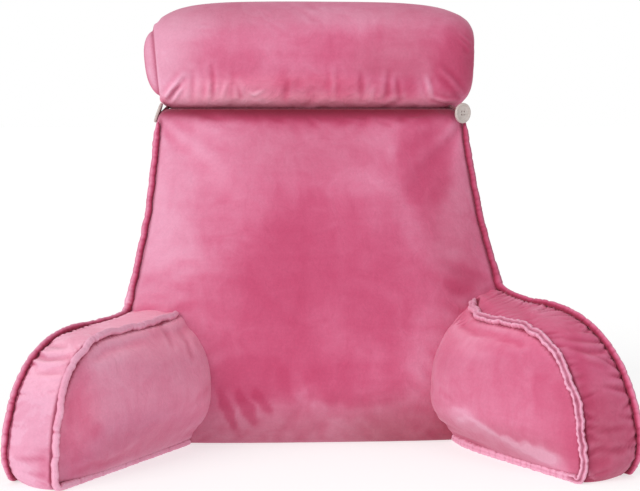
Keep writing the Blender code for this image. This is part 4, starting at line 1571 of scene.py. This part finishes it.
def makeYarnFinish(name, dark, light, twist):
    material, shader, add = newMaterial(name)
    place = add("TexCoord").outputs["Object"]
    twisted = {"Vector": place, "Scale": twist, "Distortion": 1.5}
    strand = add("TexWave", twisted, wave_type="BANDS", bands_direction="DIAGONAL").outputs["Fac"]
    setInputs(shader, {
        "Base Color": rampOf(add, strand, ((0.0, dark), (1.0, light))),
        "Roughness": 0.75,
        "Sheen Weight": 0.3,
        "Normal": bumpOf(add, strand, 0.6, 0.0003),
    })
    return material


studio = {
    "floorReach": 30,
    "floorColour": (0.45, 0.45, 0.45),
    "floorGlow": 0.62,
    "ambient": 0.61,
    # direction towards the light, softness in degrees, strength
    "key": {"from": (-0.62, -0.66, 0.43), "soft": 40, "strength": 1.62, "colour": (1.0, 0.985, 0.97)},
    "fill": {"from": (0.70, -0.65, 0.25), "soft": 60, "strength": 0.08, "colour": (1.0, 0.98, 0.98)},
}

view = {
    "azimuth": -3.5,
    "elevation": 4.6,
    "distance": 2.3,
    "lookAt": (0.0, -0.12, 0.262),
    "lens": 99.5,
    "sensor": 36.0,
}


def makeFloor():
    reach = studio["floorReach"]
    corners = [(-reach, -reach, 0), (reach, -reach, 0), (reach, reach, 0), (-reach, reach, 0)]
    piece = meshPiece("floor", corners, [(0, 1, 2, 3)])
    material, shader, _ = newMaterial("pale floor")
    setInputs(shader, {
        "Base Color": (*studio["floorColour"], 1),
        "Roughness": 0.9,
        "Emission Color": (1, 1, 1, 1),
        "Emission Strength": studio["floorGlow"],
    })
    piece.data.materials.append(material)
    return piece


def aimed(name, data, place, back):
    # A lamp or camera at this place that looks away from its back.
    holder = linked(name, data)
    holder.location = place
    holder.rotation_mode = "QUATERNION"
    holder.rotation_quaternion = back.to_track_quat("Z", "Y")
    return holder


def makeLights():
    for name in ("key", "fill"):
        amounts = studio[name]
        light = bpy.data.lights.new(name, "SUN")
        light.energy = amounts["strength"]
        light.angle = math.radians(amounts["soft"])
        light.color = amounts["colour"]
        aimed(name, light, Vector(amounts["from"]) * 3, Vector(amounts["from"]))
    # an even white world, which the camera sees as plain white
    world = bpy.data.worlds.new("studio")
    world.use_nodes = True
    nodes, add = world.node_tree.nodes, nodeMaker(world.node_tree)
    ambient = setInputs(nodes["Background"], {"Color": (1, 1, 1, 1), "Strength": studio["ambient"]})
    backdrop = add("Background", {"Color": (1, 1, 1, 1)})
    seen = add("LightPath").outputs["Is Camera Ray"]
    blend = add("MixShader", {"Fac": seen, 1: ambient.outputs[0], 2: backdrop.outputs[0]})
    setInputs(nodes["World Output"], {"Surface": blend.outputs[0]})
    bpy.context.scene.world = world
    bpy.context.scene.view_settings.view_transform = "Standard"


def makeCamera():
    turn, rise = math.radians(view["azimuth"]), math.radians(view["elevation"])
    back = Vector((math.sin(turn) * math.cos(rise), -math.cos(turn) * math.cos(rise), math.sin(rise)))
    camera = bpy.data.cameras.new("camera")
    camera.lens = view["lens"]
    camera.sensor_width = view["sensor"]
    bpy.context.scene.camera = aimed("camera", camera, Vector(view["lookAt"]) + view["distance"] * back, back)


def dress(piece, material, slot, *nodes):
    piece.data.materials.clear()
    piece.data.materials.append(material)
    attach(piece, "root")
    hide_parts(*nodes)


makeCamera()
makeLights()
makeFloor()
velvet = makeVelvet("rose velvet", velvetLook)
weltVelvet = makeVelvet("gathered velvet", velvetLook, shift=-0.06, foldDark=0.64)
buttonFinish = makeButtonFinish()
threadFinish = makeYarnFinish("pink thread", (0.30, 0.06, 0.10), (0.62, 0.20, 0.28), 900.0)
elasticFinish = makeYarnFinish("dark red elastic", (0.10, 0.008, 0.02), (0.30, 0.04, 0.075), 600.0)
report("studio and finishes")

body = makeBackrest()
dress(body, velvet, "velvet", "backrest")
for name in arms:
    arm = makeArm(name, body)
    dress(arm, velvet, "velvet", "arm_" + name)
    outer, inner = makeWelts(name)
    dress(outer, weltVelvet, "welt_velvet", "welt_outer_" + name)
    dress(inner, weltVelvet, "welt_velvet", "welt_inner_" + name)
    report(f"{name} arm and its welts")
neckRoll = makeRoll()
dress(neckRoll, velvet, "velvet", "neck_roll")
report("neck roll")
for name in arms:
    dress(makeButton(name), buttonFinish, "button_white", "button_" + name)
    dress(makeShank(name), threadFinish, "thread_pink", "thread_" + name)
    dress(makeLoop(name), elasticFinish, "elastic_red", "loop_" + name)
report("buttons and loops")

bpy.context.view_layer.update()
report("all pieces in place")
